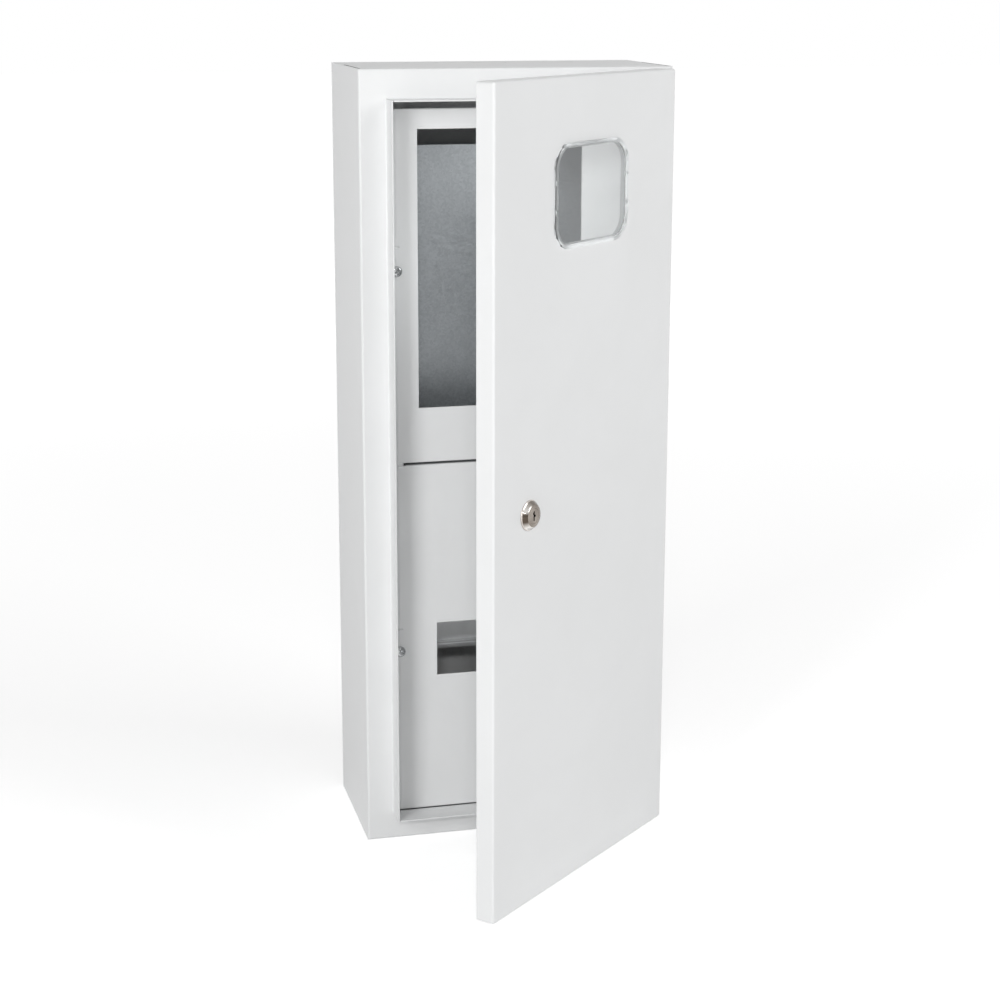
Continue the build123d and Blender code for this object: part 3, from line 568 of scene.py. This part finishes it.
@dataclass(frozen=True)
class SpunFinish:
    """Nickel spun on a lathe: fine rings, and painted reflections and sheen in bands round its axis."""

    name: str
    place: Matrix
    # Colour ramp round the axis; it paints reflections and sheen onto the nickel.
    tones: tuple
    smooth: float = 0.1
    dull: float = 0.22
    ring_scale: float = 900.0
    ring_relief: float = 0.00002
    ring_strength: float = 0.12
    worn: tuple = (0.86, 0.86, 0.86)
    fresh: tuple = (1.0, 1.0, 1.0)

    def build(self, effects: Effects) -> bpy.types.Material:
        """Makes the material."""
        paint = Paint(self.name)
        paint.shader.inputs["Metallic"].default_value = 1.0
        centred = paint.graph.add("Mapping", vector_type="TEXTURE")
        centred.inputs["Location"].default_value = self.place.translation
        centred.inputs["Rotation"].default_value = self.place.to_euler()
        paint.graph.link(paint.place, centred.inputs["Vector"])
        around = paint.graph.add("TexGradient", gradient_type="RADIAL")
        paint.graph.link(centred.outputs[0], around.inputs["Vector"])
        rings = paint.graph.add(
            "TexWave", {"Scale": self.ring_scale, "Distortion": 1.2, "Detail": 2.0, "Detail Scale": 2.0},
            wave_type="RINGS", rings_direction="Z", wave_profile="SIN",
        )
        paint.graph.link(centred.outputs[0], rings.inputs["Vector"])
        skin = paint.effect(effects.grain, {"Fine Scale": 1500.0, "Slow Scale": 220.0})
        # Painted reflection: dark and bright bands fixed round the lock's axis.
        painted_reflection = paint.ramp(around.outputs["Fac"], self.tones)
        wear = paint.ramp(skin.outputs["Tone"], ((NOISE_LOW, self.worn), (NOISE_HIGH, self.fresh)))
        paint.colour(paint.blend("MULTIPLY", 1.0, painted_reflection, wear))
        paint.gloss(skin.outputs["Gloss"], self.smooth, self.dull)
        paint.bump(rings.outputs["Fac"], self.ring_strength, self.ring_relief)
        return paint.material


@dataclass(frozen=True)
class PlasticFinish:
    """Moulded opaque plastic."""

    name: str
    dark: tuple
    light: tuple
    smooth: float = 0.35
    dull: float = 0.5
    relief: float = 0.00003
    relief_strength: float = 0.15
    edge: float = 0.0003

    def build(self, effects: Effects) -> bpy.types.Material:
        """Makes the material."""
        paint = Paint(self.name)
        skin = paint.effect(effects.grain, {"Fine Scale": 1500.0, "Slow Scale": 60.0})
        paint.tint(skin.outputs["Tone"], self.dark, self.light)
        paint.gloss(skin.outputs["Gloss"], self.smooth, self.dull)
        paint.bump(skin.outputs["Height"], self.relief_strength, self.relief, self.edge)
        return paint.material


@dataclass(frozen=True)
class ClearFinish:
    """Clear moulded plastic, slightly wavy, that lets light through to what is behind it."""

    name: str = "clear_moulding"
    index: float = 1.49
    dark: tuple = (0.93, 0.945, 0.945)
    light: tuple = (0.965, 0.975, 0.975)
    smooth: float = 0.02
    dull: float = 0.05
    wave: float = 0.06
    wave_depth: float = 0.0004
    shadow: tuple = (0.93, 0.94, 0.94, 1.0)

    def build(self, effects: Effects) -> bpy.types.Material:
        """Makes the material."""
        paint = Paint(self.name)
        paint.shader.inputs["Transmission Weight"].default_value = 1.0
        paint.shader.inputs["IOR"].default_value = self.index
        skin = paint.effect(effects.grain, {"Fine Scale": 420.0, "Slow Scale": 36.0})
        paint.tint(skin.outputs["Tone"], self.dark, self.light)
        paint.gloss(skin.outputs["Gloss"], self.smooth, self.dull)
        paint.bump(skin.outputs["Tone"], self.wave, self.wave_depth)
        path = paint.graph.add("LightPath")
        through = paint.graph.add("BsdfTransparent")
        through.inputs[0].default_value = self.shadow
        mixed = paint.graph.add("MixShader")
        paint.graph.link(path.outputs["Is Shadow Ray"], mixed.inputs[0])
        paint.graph.link(paint.shader.outputs[0], mixed.inputs[1])
        paint.graph.link(through.outputs[0], mixed.inputs[2])
        paint.surface(mixed)
        return paint.material


class Shape:
    """A mesh in the making, drawn in millimetres about its own origin."""

    def __init__(self) -> None:
        """Starts an empty mesh."""
        self.bm = bmesh.new()

    def edges_where(self, test: Callable[[Vector], bool]) -> list[bmesh.types.BMEdge]:
        """Edges both of whose ends pass a test.

        Args:
            test: function of a point that says if it counts.

        Returns:
            The edges.
        """
        return [e for e in self.bm.edges if all(test(v.co) for v in e.verts)]

    def round_edges(self, edges: list, radius: float, segments: int) -> None:
        """Bevels edges to a round of the given radius."""
        bmesh.ops.bevel(
            self.bm, geom=edges, offset=radius, segments=segments, profile=0.5,
            affect="EDGES", material=-1, clamp_overlap=True,
        )

    def block(self, size: tuple, centre: tuple) -> list[bmesh.types.BMVert]:
        """Adds a box.

        Args:
            size: its three sides.
            centre: its middle.

        Returns:
            Its corners.
        """
        matrix = Matrix.Translation(centre) @ Matrix.Diagonal((*size, 1.0))
        return bmesh.ops.create_cube(self.bm, size=1.0, matrix=matrix)["verts"]

    def turned(self, profile: tuple, steps: int) -> None:
        """Adds a shape turned about Z.

        Args:
            profile: (radius, height) points, from axis to axis or as a closed ring.
            steps: facets round the axis.
        """
        ring = [self.bm.verts.new((r, 0.0, z)) for r, z in profile]
        closing = [] if profile[0][0] == 0.0 else [(ring[-1], ring[0])]
        edges = [self.bm.edges.new(pair) for pair in list(zip(ring, ring[1:])) + closing]
        bmesh.ops.spin(
            self.bm, geom=ring + edges, cent=(0, 0, 0), axis=(0, 0, 1),
            angle=2 * math.pi, steps=steps, use_merge=True,
        )
        bmesh.ops.remove_doubles(self.bm, verts=self.bm.verts[:], dist=WELD_MM)
        self.turn_outwards()

    def turn_outwards(self) -> None:
        """Turns all faces to point outwards."""
        bmesh.ops.recalc_face_normals(self.bm, faces=self.bm.faces[:])

    def prism(self, width: float, height: float, depth: float, radius: float, segments: int) -> None:
        """Adds a rounded rectangular plate that stands from Z 0 to its depth."""
        self.block((width, height, depth), (0, 0, depth / 2))
        upright = [e for e in self.bm.edges if abs(e.verts[0].co.z - e.verts[1].co.z) > depth / 2]
        self.round_edges(upright, radius, segments)

    def flat_at(self, level: float) -> bmesh.types.BMFace:
        """The largest flat face at a height."""
        level_faces = [f for f in self.bm.faces if all(abs(v.co.z - level) < NEAR_MM for v in f.verts)]
        return max(level_faces, key=lambda f: f.calc_area())

    def step(self, face: bmesh.types.BMFace, inset: float, rise: float) -> bmesh.types.BMFace:
        """Insets a face and moves its middle up or down with upright walls.

        Args:
            face: face to work on.
            inset: width of the border that stays.
            rise: how far the middle moves along Z.

        Returns:
            The moved face.
        """
        bmesh.ops.inset_region(self.bm, faces=[face], thickness=inset, depth=0.0, use_even_offset=True)
        made = bmesh.ops.extrude_face_region(self.bm, geom=[face])["geom"]
        moved = [g for g in made if isinstance(g, bmesh.types.BMVert)]
        bmesh.ops.translate(self.bm, vec=(0, 0, rise), verts=moved)
        if face.is_valid:
            bmesh.ops.delete(self.bm, geom=[face], context="FACES_ONLY")
        return [g for g in made if isinstance(g, bmesh.types.BMFace)][0]

    def finish(self, name: str, place: Matrix, smooth: float = 35.0) -> bpy.types.Object:
        """Scales the mesh to metres, puts it in place and makes its object.

        Args:
            name: name of the piece.
            place: matrix from the shape's own axes to the row frame, in metres.
            smooth: edges under this angle in degrees are shaded smooth.

        Returns:
            The linked object, at the origin.
        """
        bmesh.ops.transform(self.bm, matrix=place @ Matrix.Scale(MM, 4), verts=self.bm.verts[:])
        mesh = bpy.data.meshes.new(name)
        self.bm.to_mesh(mesh)
        self.bm.free()
        mesh.shade_smooth()
        mesh.set_sharp_from_angle(angle=math.radians(smooth))
        piece = bpy.data.objects.new(name, mesh)
        bpy.context.scene.collection.objects.link(piece)
        return piece


def carve(piece: bpy.types.Object, cutter: bpy.types.Object, smooth: float = 35.0) -> None:
    """Cuts one object's shape out of another and removes the cutter.

    Args:
        piece: object that is cut.
        cutter: object that is taken away.
        smooth: edges under this angle in degrees are shaded smooth.
    """
    modifier = piece.modifiers.new("carve", "BOOLEAN")
    modifier.operation = "DIFFERENCE"
    modifier.solver = "EXACT"
    modifier.use_self = True
    modifier.object = cutter
    bpy.context.view_layer.update()
    graph = bpy.context.evaluated_depsgraph_get()
    mesh = bpy.data.meshes.new_from_object(piece.evaluated_get(graph), depsgraph=graph)
    piece.modifiers.remove(modifier)
    old, piece.data = piece.data, mesh
    mesh.name = piece.name
    mesh.set_sharp_from_angle(angle=math.radians(smooth))
    bpy.data.meshes.remove(old)
    bpy.data.objects.remove(cutter)


def dress(piece: bpy.types.Object, material: bpy.types.Material) -> None:
    """Gives a piece one material in all its slots."""
    if not piece.material_slots:
        piece.data.materials.append(material)
    for slot in piece.material_slots:
        slot.material = material


def settle(piece: bpy.types.Object, body: Body, slot: Slot, *nodes: str) -> None:
    """Parents a finished piece to its body's empty and hides the CAD nodes that it stands for.

    Args:
        piece: the new piece.
        body: CAD body that carries it.
        slot: record slot of its finish; not used.
        nodes: CAD nodes that it stands for.
    """
    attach(piece, body.value)
    if nodes:
        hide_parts(*nodes)
    LOG.info("%s: %d faces on %s", piece.name, len(piece.data.polygons), body.value)


def wall_place(x: float, y: float, z: float) -> Matrix:
    """Matrix of a piece on the case with its own Z to the front, from millimetres."""
    return Matrix.Translation((x * MM, y * MM, z * MM)) @ Matrix.Rotation(math.pi / 2, 4, "X")


@dataclass
class DoorFrame:
    """Where the open door stands, in millimetres and degrees."""

    pin_x: float = 112.5
    pin_y: float = -148.0
    face_y: float = -152.5
    open_angle: float = 41.9

    def swing(self) -> Matrix:
        """Matrix that turns the closed door about its pins to where it stands open, in metres."""
        pin = Matrix.Translation((self.pin_x * MM, self.pin_y * MM, 0.0))
        return pin @ Matrix.Rotation(math.radians(self.open_angle), 4, "Z") @ pin.inverted()

    def at(self, x: float, z: float) -> Matrix:
        """Matrix of a piece on the door's face, with its own Z to the front.

        Args:
            x: place across the closed door.
            z: height.

        Returns:
            The matrix, in metres.
        """
        return self.swing() @ wall_place(x, self.face_y, z)


@dataclass
class WindowMoulding:
    """Clear window with a raised rim, a skirt through the leaf and four snap clips."""

    door: DoorFrame
    x: float = 1.5
    z: float = 234.5
    width: float = 105.5
    height: float = 80.0
    radius: float = 20.0
    proud: float = 2.2
    rim: float = 3.4
    recess: float = 1.0
    pane: float = 1.8
    seat: float = 2.7
    skirt: float = 4.0
    skirt_wall: float = 1.2
    corner_segments: int = 14
    rounding: float = 0.7
    rounding_segments: int = 3
    corner_angle: float = 0.5
    clip_pitch: float = 22.0
    clip_width: float = 3.4
    clip_thick: float = 0.9
    clip_depth: float = 1.4
    clip_out: float = 0.3
    clip_level: float = -2.2
    clip_slot: float = 1.4
    slot_gap: float = 0.05
    slot_over: float = 0.5
    slot_lift: float = 0.65
    skin: float = 0.1
    smooth: float = 40.0

    def build(self, clear: bpy.types.Material, satin: bpy.types.Material) -> bpy.types.Object:
        """Makes the moulding and parents it to the door's body.

        Args:
            clear: finish of the pane.
            satin: finish of the rim and skirt.

        Returns:
            The piece.
        """
        shape = Shape()
        shape.prism(self.width, self.height, self.proud, self.radius, self.corner_segments)
        shape.step(shape.flat_at(self.proud), self.rim, -self.recess)
        shape.step(shape.flat_at(0.0), self.seat, -self.skirt)
        pane_front = self.proud - self.recess
        pane_back = pane_front - self.pane
        shape.step(shape.flat_at(-self.skirt), self.skirt_wall, self.skirt + pane_back)
        top = shape.edges_where(lambda p: abs(p.z - self.proud) < NEAR_MM)
        corners = [e for e in top if e.is_manifold and e.calc_face_angle(0.0) > self.corner_angle]
        shape.round_edges(corners, self.rounding, self.rounding_segments)
        side = self.width / 2 - self.seat
        clip = (self.clip_thick, self.clip_width, self.clip_depth)
        slot = (self.clip_slot, self.clip_width, 2 * (self.proud + self.slot_over))
        slots = Shape()
        for sx, sy in SIDES:
            y = sy * self.clip_pitch / 2
            shape.block(clip, (sx * (side + self.clip_out), y, self.clip_level))
            x = sx * (side + self.clip_slot / 2 + self.slot_gap)
            slots.block(slot, (x, y, self.proud / 2 + self.slot_lift))
        shape.turn_outwards()
        place = self.door.at(self.x, self.z)
        piece = shape.finish("window_moulding", place, self.smooth)
        carve(piece, slots.finish("rim_slots", place), self.smooth)
        dress(piece, clear)
        piece.data.materials.append(satin)
        back = place.inverted()
        pane_x, pane_y = self.width / 2 - self.rim, self.height / 2 - self.rim
        for polygon in piece.data.polygons:
            spot = back @ polygon.center / MM
            on_pane = abs(spot.x) < pane_x and abs(spot.y) < pane_y
            flat = pane_back - self.skin < spot.z < pane_front + self.skin
            polygon.material_index = 0 if on_pane and flat else 1
        settle(piece, Body.DOOR, Slot.CLEAR, "window")
        return piece


@dataclass
class DoorLock:
    """Turned rosette with its barrel, and the keyed cylinder that turns in it.

    The flank's points count from the edge of the face, outwards and forwards, and the rim's points
    from the rosette's radius and the door. The keyway is made of slots, each with its size and place.
    """

    door: DoorFrame
    x: float = -82.5
    z: float = -3.5
    rosette: float = 12.0
    proud: float = 4.6
    face: float = 8.8
    bore: float = 6.08
    barrel: float = 8.0
    flats: float = 6.75
    barrel_end: float = -15.2
    plug: float = 6.0
    plug_front: float = 4.6
    tail: float = 6.0
    tail_end: float = -17.4
    flank: tuple = ((-0.2, 0.0), (0.25, -0.35), (1.1, -1.25))
    rim: tuple = ((-1.25, 1.75), (-0.75, 1.1), (-0.25, 0.95), (0.0, 0.6), (0.0, 0.0))
    flank_foot: float = 1.2
    chamfer: float = 0.1
    keyway: tuple = (((1.5, 7.6), (-0.2, 0.0)), ((1.7, 1.5), (1.2, 0.1)), ((1.2, 1.6), (-1.0, 2.0)))
    keyway_depth: float = 6.0
    skin: float = 0.1
    smooth: float = 40.0
    steps: int = 72

    def build_rosette(
        self, plain: bpy.types.Material, flank: bpy.types.Material, face: bpy.types.Material
    ) -> bpy.types.Object:
        """Makes the rosette and barrel.

        Args:
            plain: finish of the barrel and the outer rim.
            flank: finish of the rosette's flank.
            face: finish of its flat face.

        Returns:
            The piece.
        """
        shape = Shape()
        flank_line = tuple((self.face + out, self.proud + up) for out, up in self.flank)
        rim_line = tuple((self.rosette + out, up) for out, up in self.rim)
        barrel_line = ((self.barrel, 0.0), (self.barrel, self.barrel_end), (self.bore, self.barrel_end))
        shape.turned(((self.bore, self.proud), *flank_line, *rim_line, *barrel_line), self.steps)
        for vert in shape.bm.verts:
            if vert.co.z < -self.skin and abs(vert.co.x) > self.flats:
                vert.co.x = math.copysign(self.flats, vert.co.x)
        place = self.door.at(self.x, self.z)
        piece = shape.finish("lock_rosette", place, self.smooth)
        for material in (plain, flank, face):
            piece.data.materials.append(material)
        back = place.inverted()
        face_edge = flank_line[0][0]
        for polygon in piece.data.polygons:
            spot = back @ polygon.center / MM
            on_flank = spot.z > self.flank_foot and spot.xy.length > face_edge
            on_face = spot.z > self.proud - self.skin and not on_flank
            polygon.material_index = 2 if on_face else int(on_flank)
        settle(piece, Body.DOOR, Slot.NICKEL, "lock_body")
        return piece

    def build_cylinder(self, turned: bpy.types.Material) -> bpy.types.Object:
        """Makes the keyed cylinder with its keyway and square tail.

        Args:
            turned: finish of the cylinder.

        Returns:
            The piece.
        """
        shape = Shape()
        shape.turned(
            (
                (0.0, self.plug_front),
                (self.plug - self.chamfer, self.plug_front),
                (self.plug, self.plug_front - self.chamfer),
                (self.plug, self.barrel_end),
                (0.0, self.barrel_end),
            ),
            self.steps,
        )
        length = self.barrel_end - self.tail_end
        shape.block((self.tail, self.tail, length), (0, 0, self.tail_end + length / 2))
        shape.turn_outwards()
        place = self.door.at(self.x, self.z)
        piece = shape.finish("lock_cylinder", place, self.smooth)
        cutter = Shape()
        for size, spot in self.keyway:
            cutter.block((*size, 2 * self.keyway_depth), (*spot, self.plug_front))
        cutter.turn_outwards()
        carve(piece, cutter.finish("keyway", place), self.smooth)
        dress(piece, turned)
        settle(piece, Body.LOCK, Slot.NICKEL, "lock_plug")
        return piece


@dataclass
class PanelScrews:
    """Pan-head screws with a cross recess, two for each inner panel.

    The pan's points are shares of the head's radius, with their drop below its top.
    """

    x: float = 100.5
    heights: tuple = (164.25, -157.3)
    panel_y: float = -127.8
    head: float = 4.4
    rise: float = 3.0
    shank: float = 2.5
    length: float = 12.0
    pan: tuple = ((0.62, 0.1), (0.84, 0.5), (0.96, 1.2), (1.0, 2.0))
    tip_taper: float = 0.8
    tip_length: float = 1.0
    recess: float = 2.0
    blade_length: float = 5.4
    blade_width: float = 1.3
    blade_turn: float = 20.0
    steps: int = 40
    smooth: float = 45.0

    def build(self, material: bpy.types.Material) -> list[bpy.types.Object]:
        """Makes the screws.

        Args:
            material: plated finish.

        Returns:
            The pieces.
        """
        pieces = []
        for row, z in zip(("upper", "lower"), self.heights):
            for side, x in (("left", -self.x), ("right", self.x)):
                place = wall_place(x, self.panel_y, z)
                pieces.append(self._screw(f"panel_screw_{row}_{side}", place, material))
        for piece in pieces:
            settle(piece, Body.CASE, Slot.ZINC, "panel_screws")
        return pieces

    def _screw(self, name: str, place: Matrix, material: bpy.types.Material) -> bpy.types.Object:
        """Makes one screw.

        Args:
            name: name of the piece.
            place: where its head seats.
            material: plated finish.

        Returns:
            The piece.
        """
        shape = Shape()
        pan_line = tuple((self.head * share, self.rise - drop) for share, drop in self.pan)
        shank_line = (
            (self.shank, 0.0), (self.shank, self.tip_length - self.length),
            (self.shank - self.tip_taper, -self.length), (0.0, -self.length),
        )
        shape.turned(((0.0, self.rise), *pan_line, (self.head, 0.0), *shank_line), self.steps)
        piece = shape.finish(name, place, self.smooth)
        cross = Shape()
        for turn in (0.0, math.pi / 2):
            blade = cross.block((self.blade_length, self.blade_width, 2 * self.recess), (0, 0, self.rise))
            spin = Matrix.Rotation(turn + math.radians(self.blade_turn), 3, "Z")
            bmesh.ops.rotate(cross.bm, cent=(0, 0, 0), matrix=spin, verts=blade)
        cross.turn_outwards()
        carve(piece, cross.finish("cross_recess", place), self.smooth)
        dress(piece, material)
        return piece


class Wardrobe:
    """Builds every finish once and dresses the CAD nodes that stay in view."""

    def __init__(self, lock_place: Matrix) -> None:
        """Makes the materials.

        Args:
            lock_place: matrix of the lock on the door, in metres.
        """
        effects = Effects()
        self.coat = CoatFinish().build(effects)
        self.sheet = ZincFinish("hot_dip_zinc").build(effects)
        self.plated = ZincFinish(
            "plated_zinc", dark=(0.52, 0.53, 0.54), light=(0.68, 0.69, 0.7), smooth=0.2, dull=0.32,
            flake_scale=1400.0, relief=0.000004,
        ).build(effects)
        self.rail = DrawnFinish(
            "drawn_zinc", dark=(0.76, 0.77, 0.775), light=(0.87, 0.88, 0.885), smooth=0.34, dull=0.48
        ).build(effects)
        self.brass = DrawnFinish(
            "drawn_brass", dark=(0.68, 0.47, 0.18), light=(0.82, 0.61, 0.28)
        ).build(effects)
        self.nickel = NickelFinish().build(effects)
        self.flank = SpunFinish("nickel_flank_painted_reflection", lock_place, FLANK_PAINTED_REFLECTIONS).build(effects)
        self.face = SpunFinish(
            "nickel_face_painted_sheen", lock_place, FACE_PAINTED_SHEEN, smooth=0.16, dull=0.3
        ).build(effects)
        self.screw = ZincFinish(
            "dark_plated_zinc", dark=(0.4, 0.41, 0.415), light=(0.55, 0.56, 0.565), smooth=0.1, dull=0.18,
            flake_scale=1400.0, relief=0.000004,
        ).build(effects)
        self.insulator = PlasticFinish(
            "blue_insulator", dark=(0.03, 0.075, 0.26), light=(0.045, 0.1, 0.32)
        ).build(effects)
        self.clear = ClearFinish().build(effects)
        self.satin = ClearFinish(
            "satin_moulding", dark=(0.6, 0.61, 0.615), light=(0.68, 0.69, 0.695),
            smooth=0.3, dull=0.45, wave=0.01,
        ).build(effects)

    def dress_nodes(self, nodes: dict[str, bpy.types.Object]) -> None:
        """Gives each CAD node its finish.

        Args:
            nodes: CAD objects by name.
        """
        by_slot = {Slot.COAT: self.coat, Slot.ZINC: self.plated, Slot.NICKEL: self.nickel,
                   Slot.BRASS: self.brass, Slot.INSULATOR: self.insulator, Slot.CLEAR: self.clear}
        special = {"meter_plate": self.sheet, "rail_bracket_left": self.sheet,
                   "rail_bracket_right": self.sheet, "din_rail": self.rail}
        for part in frame["record"]["subparts"]:
            name = part["node"]
            dress(nodes[name], special.get(name, by_slot[Slot(part["material_slot"])]))
            LOG.info("%s: %s", name, nodes[name].material_slots[0].material.name)


@dataclass(frozen=True)
class Lamp:
    """A soft box lamp, in metres and watts."""

    name: str
    at: tuple
    size: tuple
    power: float

    def build(self, target: tuple) -> None:
        """Adds the lamp, pointing at a target."""
        data = bpy.data.lights.new(self.name, "AREA")
        data.shape = "RECTANGLE"
        data.size, data.size_y = self.size
        data.energy = self.power
        lamp = bpy.data.objects.new(self.name, data)
        lamp.location = self.at
        aim = Vector(target) - Vector(self.at)
        lamp.rotation_euler = aim.to_track_quat("-Z", "Y").to_euler()
        bpy.context.scene.collection.objects.link(lamp)


@dataclass
class Studio:
    """Pale floor, soft lamps and the camera."""

    lamps: tuple = (
        Lamp("key_left", (-1.60, -1.68, 0.60), (0.8, 1.5), 24.6),
        Lamp("key_right", (1.55, -1.35, 1.10), (1.2, 1.5), 20.8),
        Lamp("fill_front", (-0.54, -2.22, 0.82), (0.3, 0.12), 7.2),
    )
    target: tuple = (0.0, -0.14, 0.0)
    floor_z: float = -0.3252
    floor_half: float = 14.0
    floor_tone: tuple = (0.9, 0.9, 0.9, 1.0)
    floor_rough: float = 0.9
    lift_near: float = 0.5
    lift_far: float = 0.8
    near: float = 0.35
    far: float = 2.6
    dome: float = 0.26
    camera_at: tuple = (-0.41616, -1.73934, 0.39672)
    yaw: float = 14.0
    pitch: float = 13.32
    roll: float = 0.13
    focal: float = 73.73
    sensor: float = 36.0
    shift: float = -0.04

    def build(self) -> None:
        """Makes the whole studio."""
        self._world()
        self._floor()
        for lamp in self.lamps:
            lamp.build(self.target)
        self._camera()
        bpy.context.scene.view_settings.view_transform = "Standard"

    @staticmethod
    def _seen(graph: Graph) -> bpy.types.NodeSocket:
        """A mask of the rays that show the background: camera, glossy and transmitted ones."""
        path = graph.add("LightPath")
        first = graph.math("MAXIMUM", path.outputs["Is Camera Ray"], path.outputs["Is Glossy Ray"])
        return graph.math("MAXIMUM", first, path.outputs["Is Transmission Ray"])

    def _world(self) -> None:
        """White surroundings that light the object evenly."""
        world = bpy.data.worlds.new("studio")
        bpy.context.scene.world = world
        world.use_nodes = True
        graph = Graph(world.node_tree)
        shade = world.node_tree.nodes["Background"]
        shade.inputs["Color"].default_value = (1.0, 1.0, 1.0, 1.0)
        level = graph.add("MapRange", {"To Min": self.dome, "To Max": 1.0})
        graph.link(self._seen(graph), level.inputs["Value"])
        graph.link(level.outputs[0], shade.inputs["Strength"])

    def _floor(self) -> None:
        """Pale floor under the object, lifted to white where nothing shades it."""
        shape = Shape()
        made = bmesh.ops.create_grid(shape.bm, x_segments=1, y_segments=1, size=self.floor_half / MM)
        bmesh.ops.translate(shape.bm, vec=(0, 0, self.floor_z / MM), verts=made["verts"])
        floor = shape.finish("floor", Matrix.Identity(4))
        paint = Paint("pale_floor")
        paint.shader.inputs["Base Color"].default_value = self.floor_tone
        paint.shader.inputs["Roughness"].default_value = self.floor_rough
        paint.shader.inputs["Specular IOR Level"].default_value = 0.0
        lift = paint.graph.add("Emission")
        away = paint.graph.add("VectorMath", operation="LENGTH")
        paint.graph.link(paint.place, away.inputs[0])
        level = paint.graph.add("MapRange", {
            "From Min": self.near, "From Max": self.far, "To Min": self.lift_near, "To Max": self.lift_far,
        })
        paint.graph.link(away.outputs["Value"], level.inputs["Value"])
        seen_level = paint.graph.math("MULTIPLY", self._seen(paint.graph), level.outputs[0])
        paint.graph.link(seen_level, lift.inputs["Strength"])
        both = paint.graph.add("AddShader")
        paint.graph.link(paint.shader.outputs[0], both.inputs[0])
        paint.graph.link(lift.outputs[0], both.inputs[1])
        paint.surface(both)
        dress(floor, paint.material)

    def _camera(self) -> None:
        """Camera at the place from which the object is seen."""
        data = bpy.data.cameras.new("camera")
        data.sensor_width = self.sensor
        data.lens = self.focal
        data.shift_y = self.shift
        camera = bpy.data.objects.new("camera", data)
        turn = Matrix.Rotation(math.radians(-self.yaw), 4, "Z")
        tilt = Matrix.Rotation(math.radians(90.0 - self.pitch), 4, "X")
        lean = Matrix.Rotation(math.radians(self.roll), 4, "Z")
        camera.matrix_world = Matrix.Translation(self.camera_at) @ turn @ tilt @ lean
        bpy.context.scene.collection.objects.link(camera)
        bpy.context.scene.camera = camera


def main() -> None:
    """Builds the pieces in order, dresses the CAD nodes and sets the studio."""
    logging.basicConfig(level=logging.INFO, format="%(name)s: %(message)s")
    door = DoorFrame()
    lock = DoorLock(door)
    wardrobe = Wardrobe(door.at(lock.x, lock.z))
    wardrobe.dress_nodes(frame["nodes"])
    WindowMoulding(door).build(wardrobe.clear, wardrobe.satin)
    lock.build_rosette(wardrobe.nickel, wardrobe.flank, wardrobe.face)
    lock.build_cylinder(wardrobe.face)
    PanelScrews().build(wardrobe.screw)
    Studio().build()


if __name__ == "__main__":
    main()
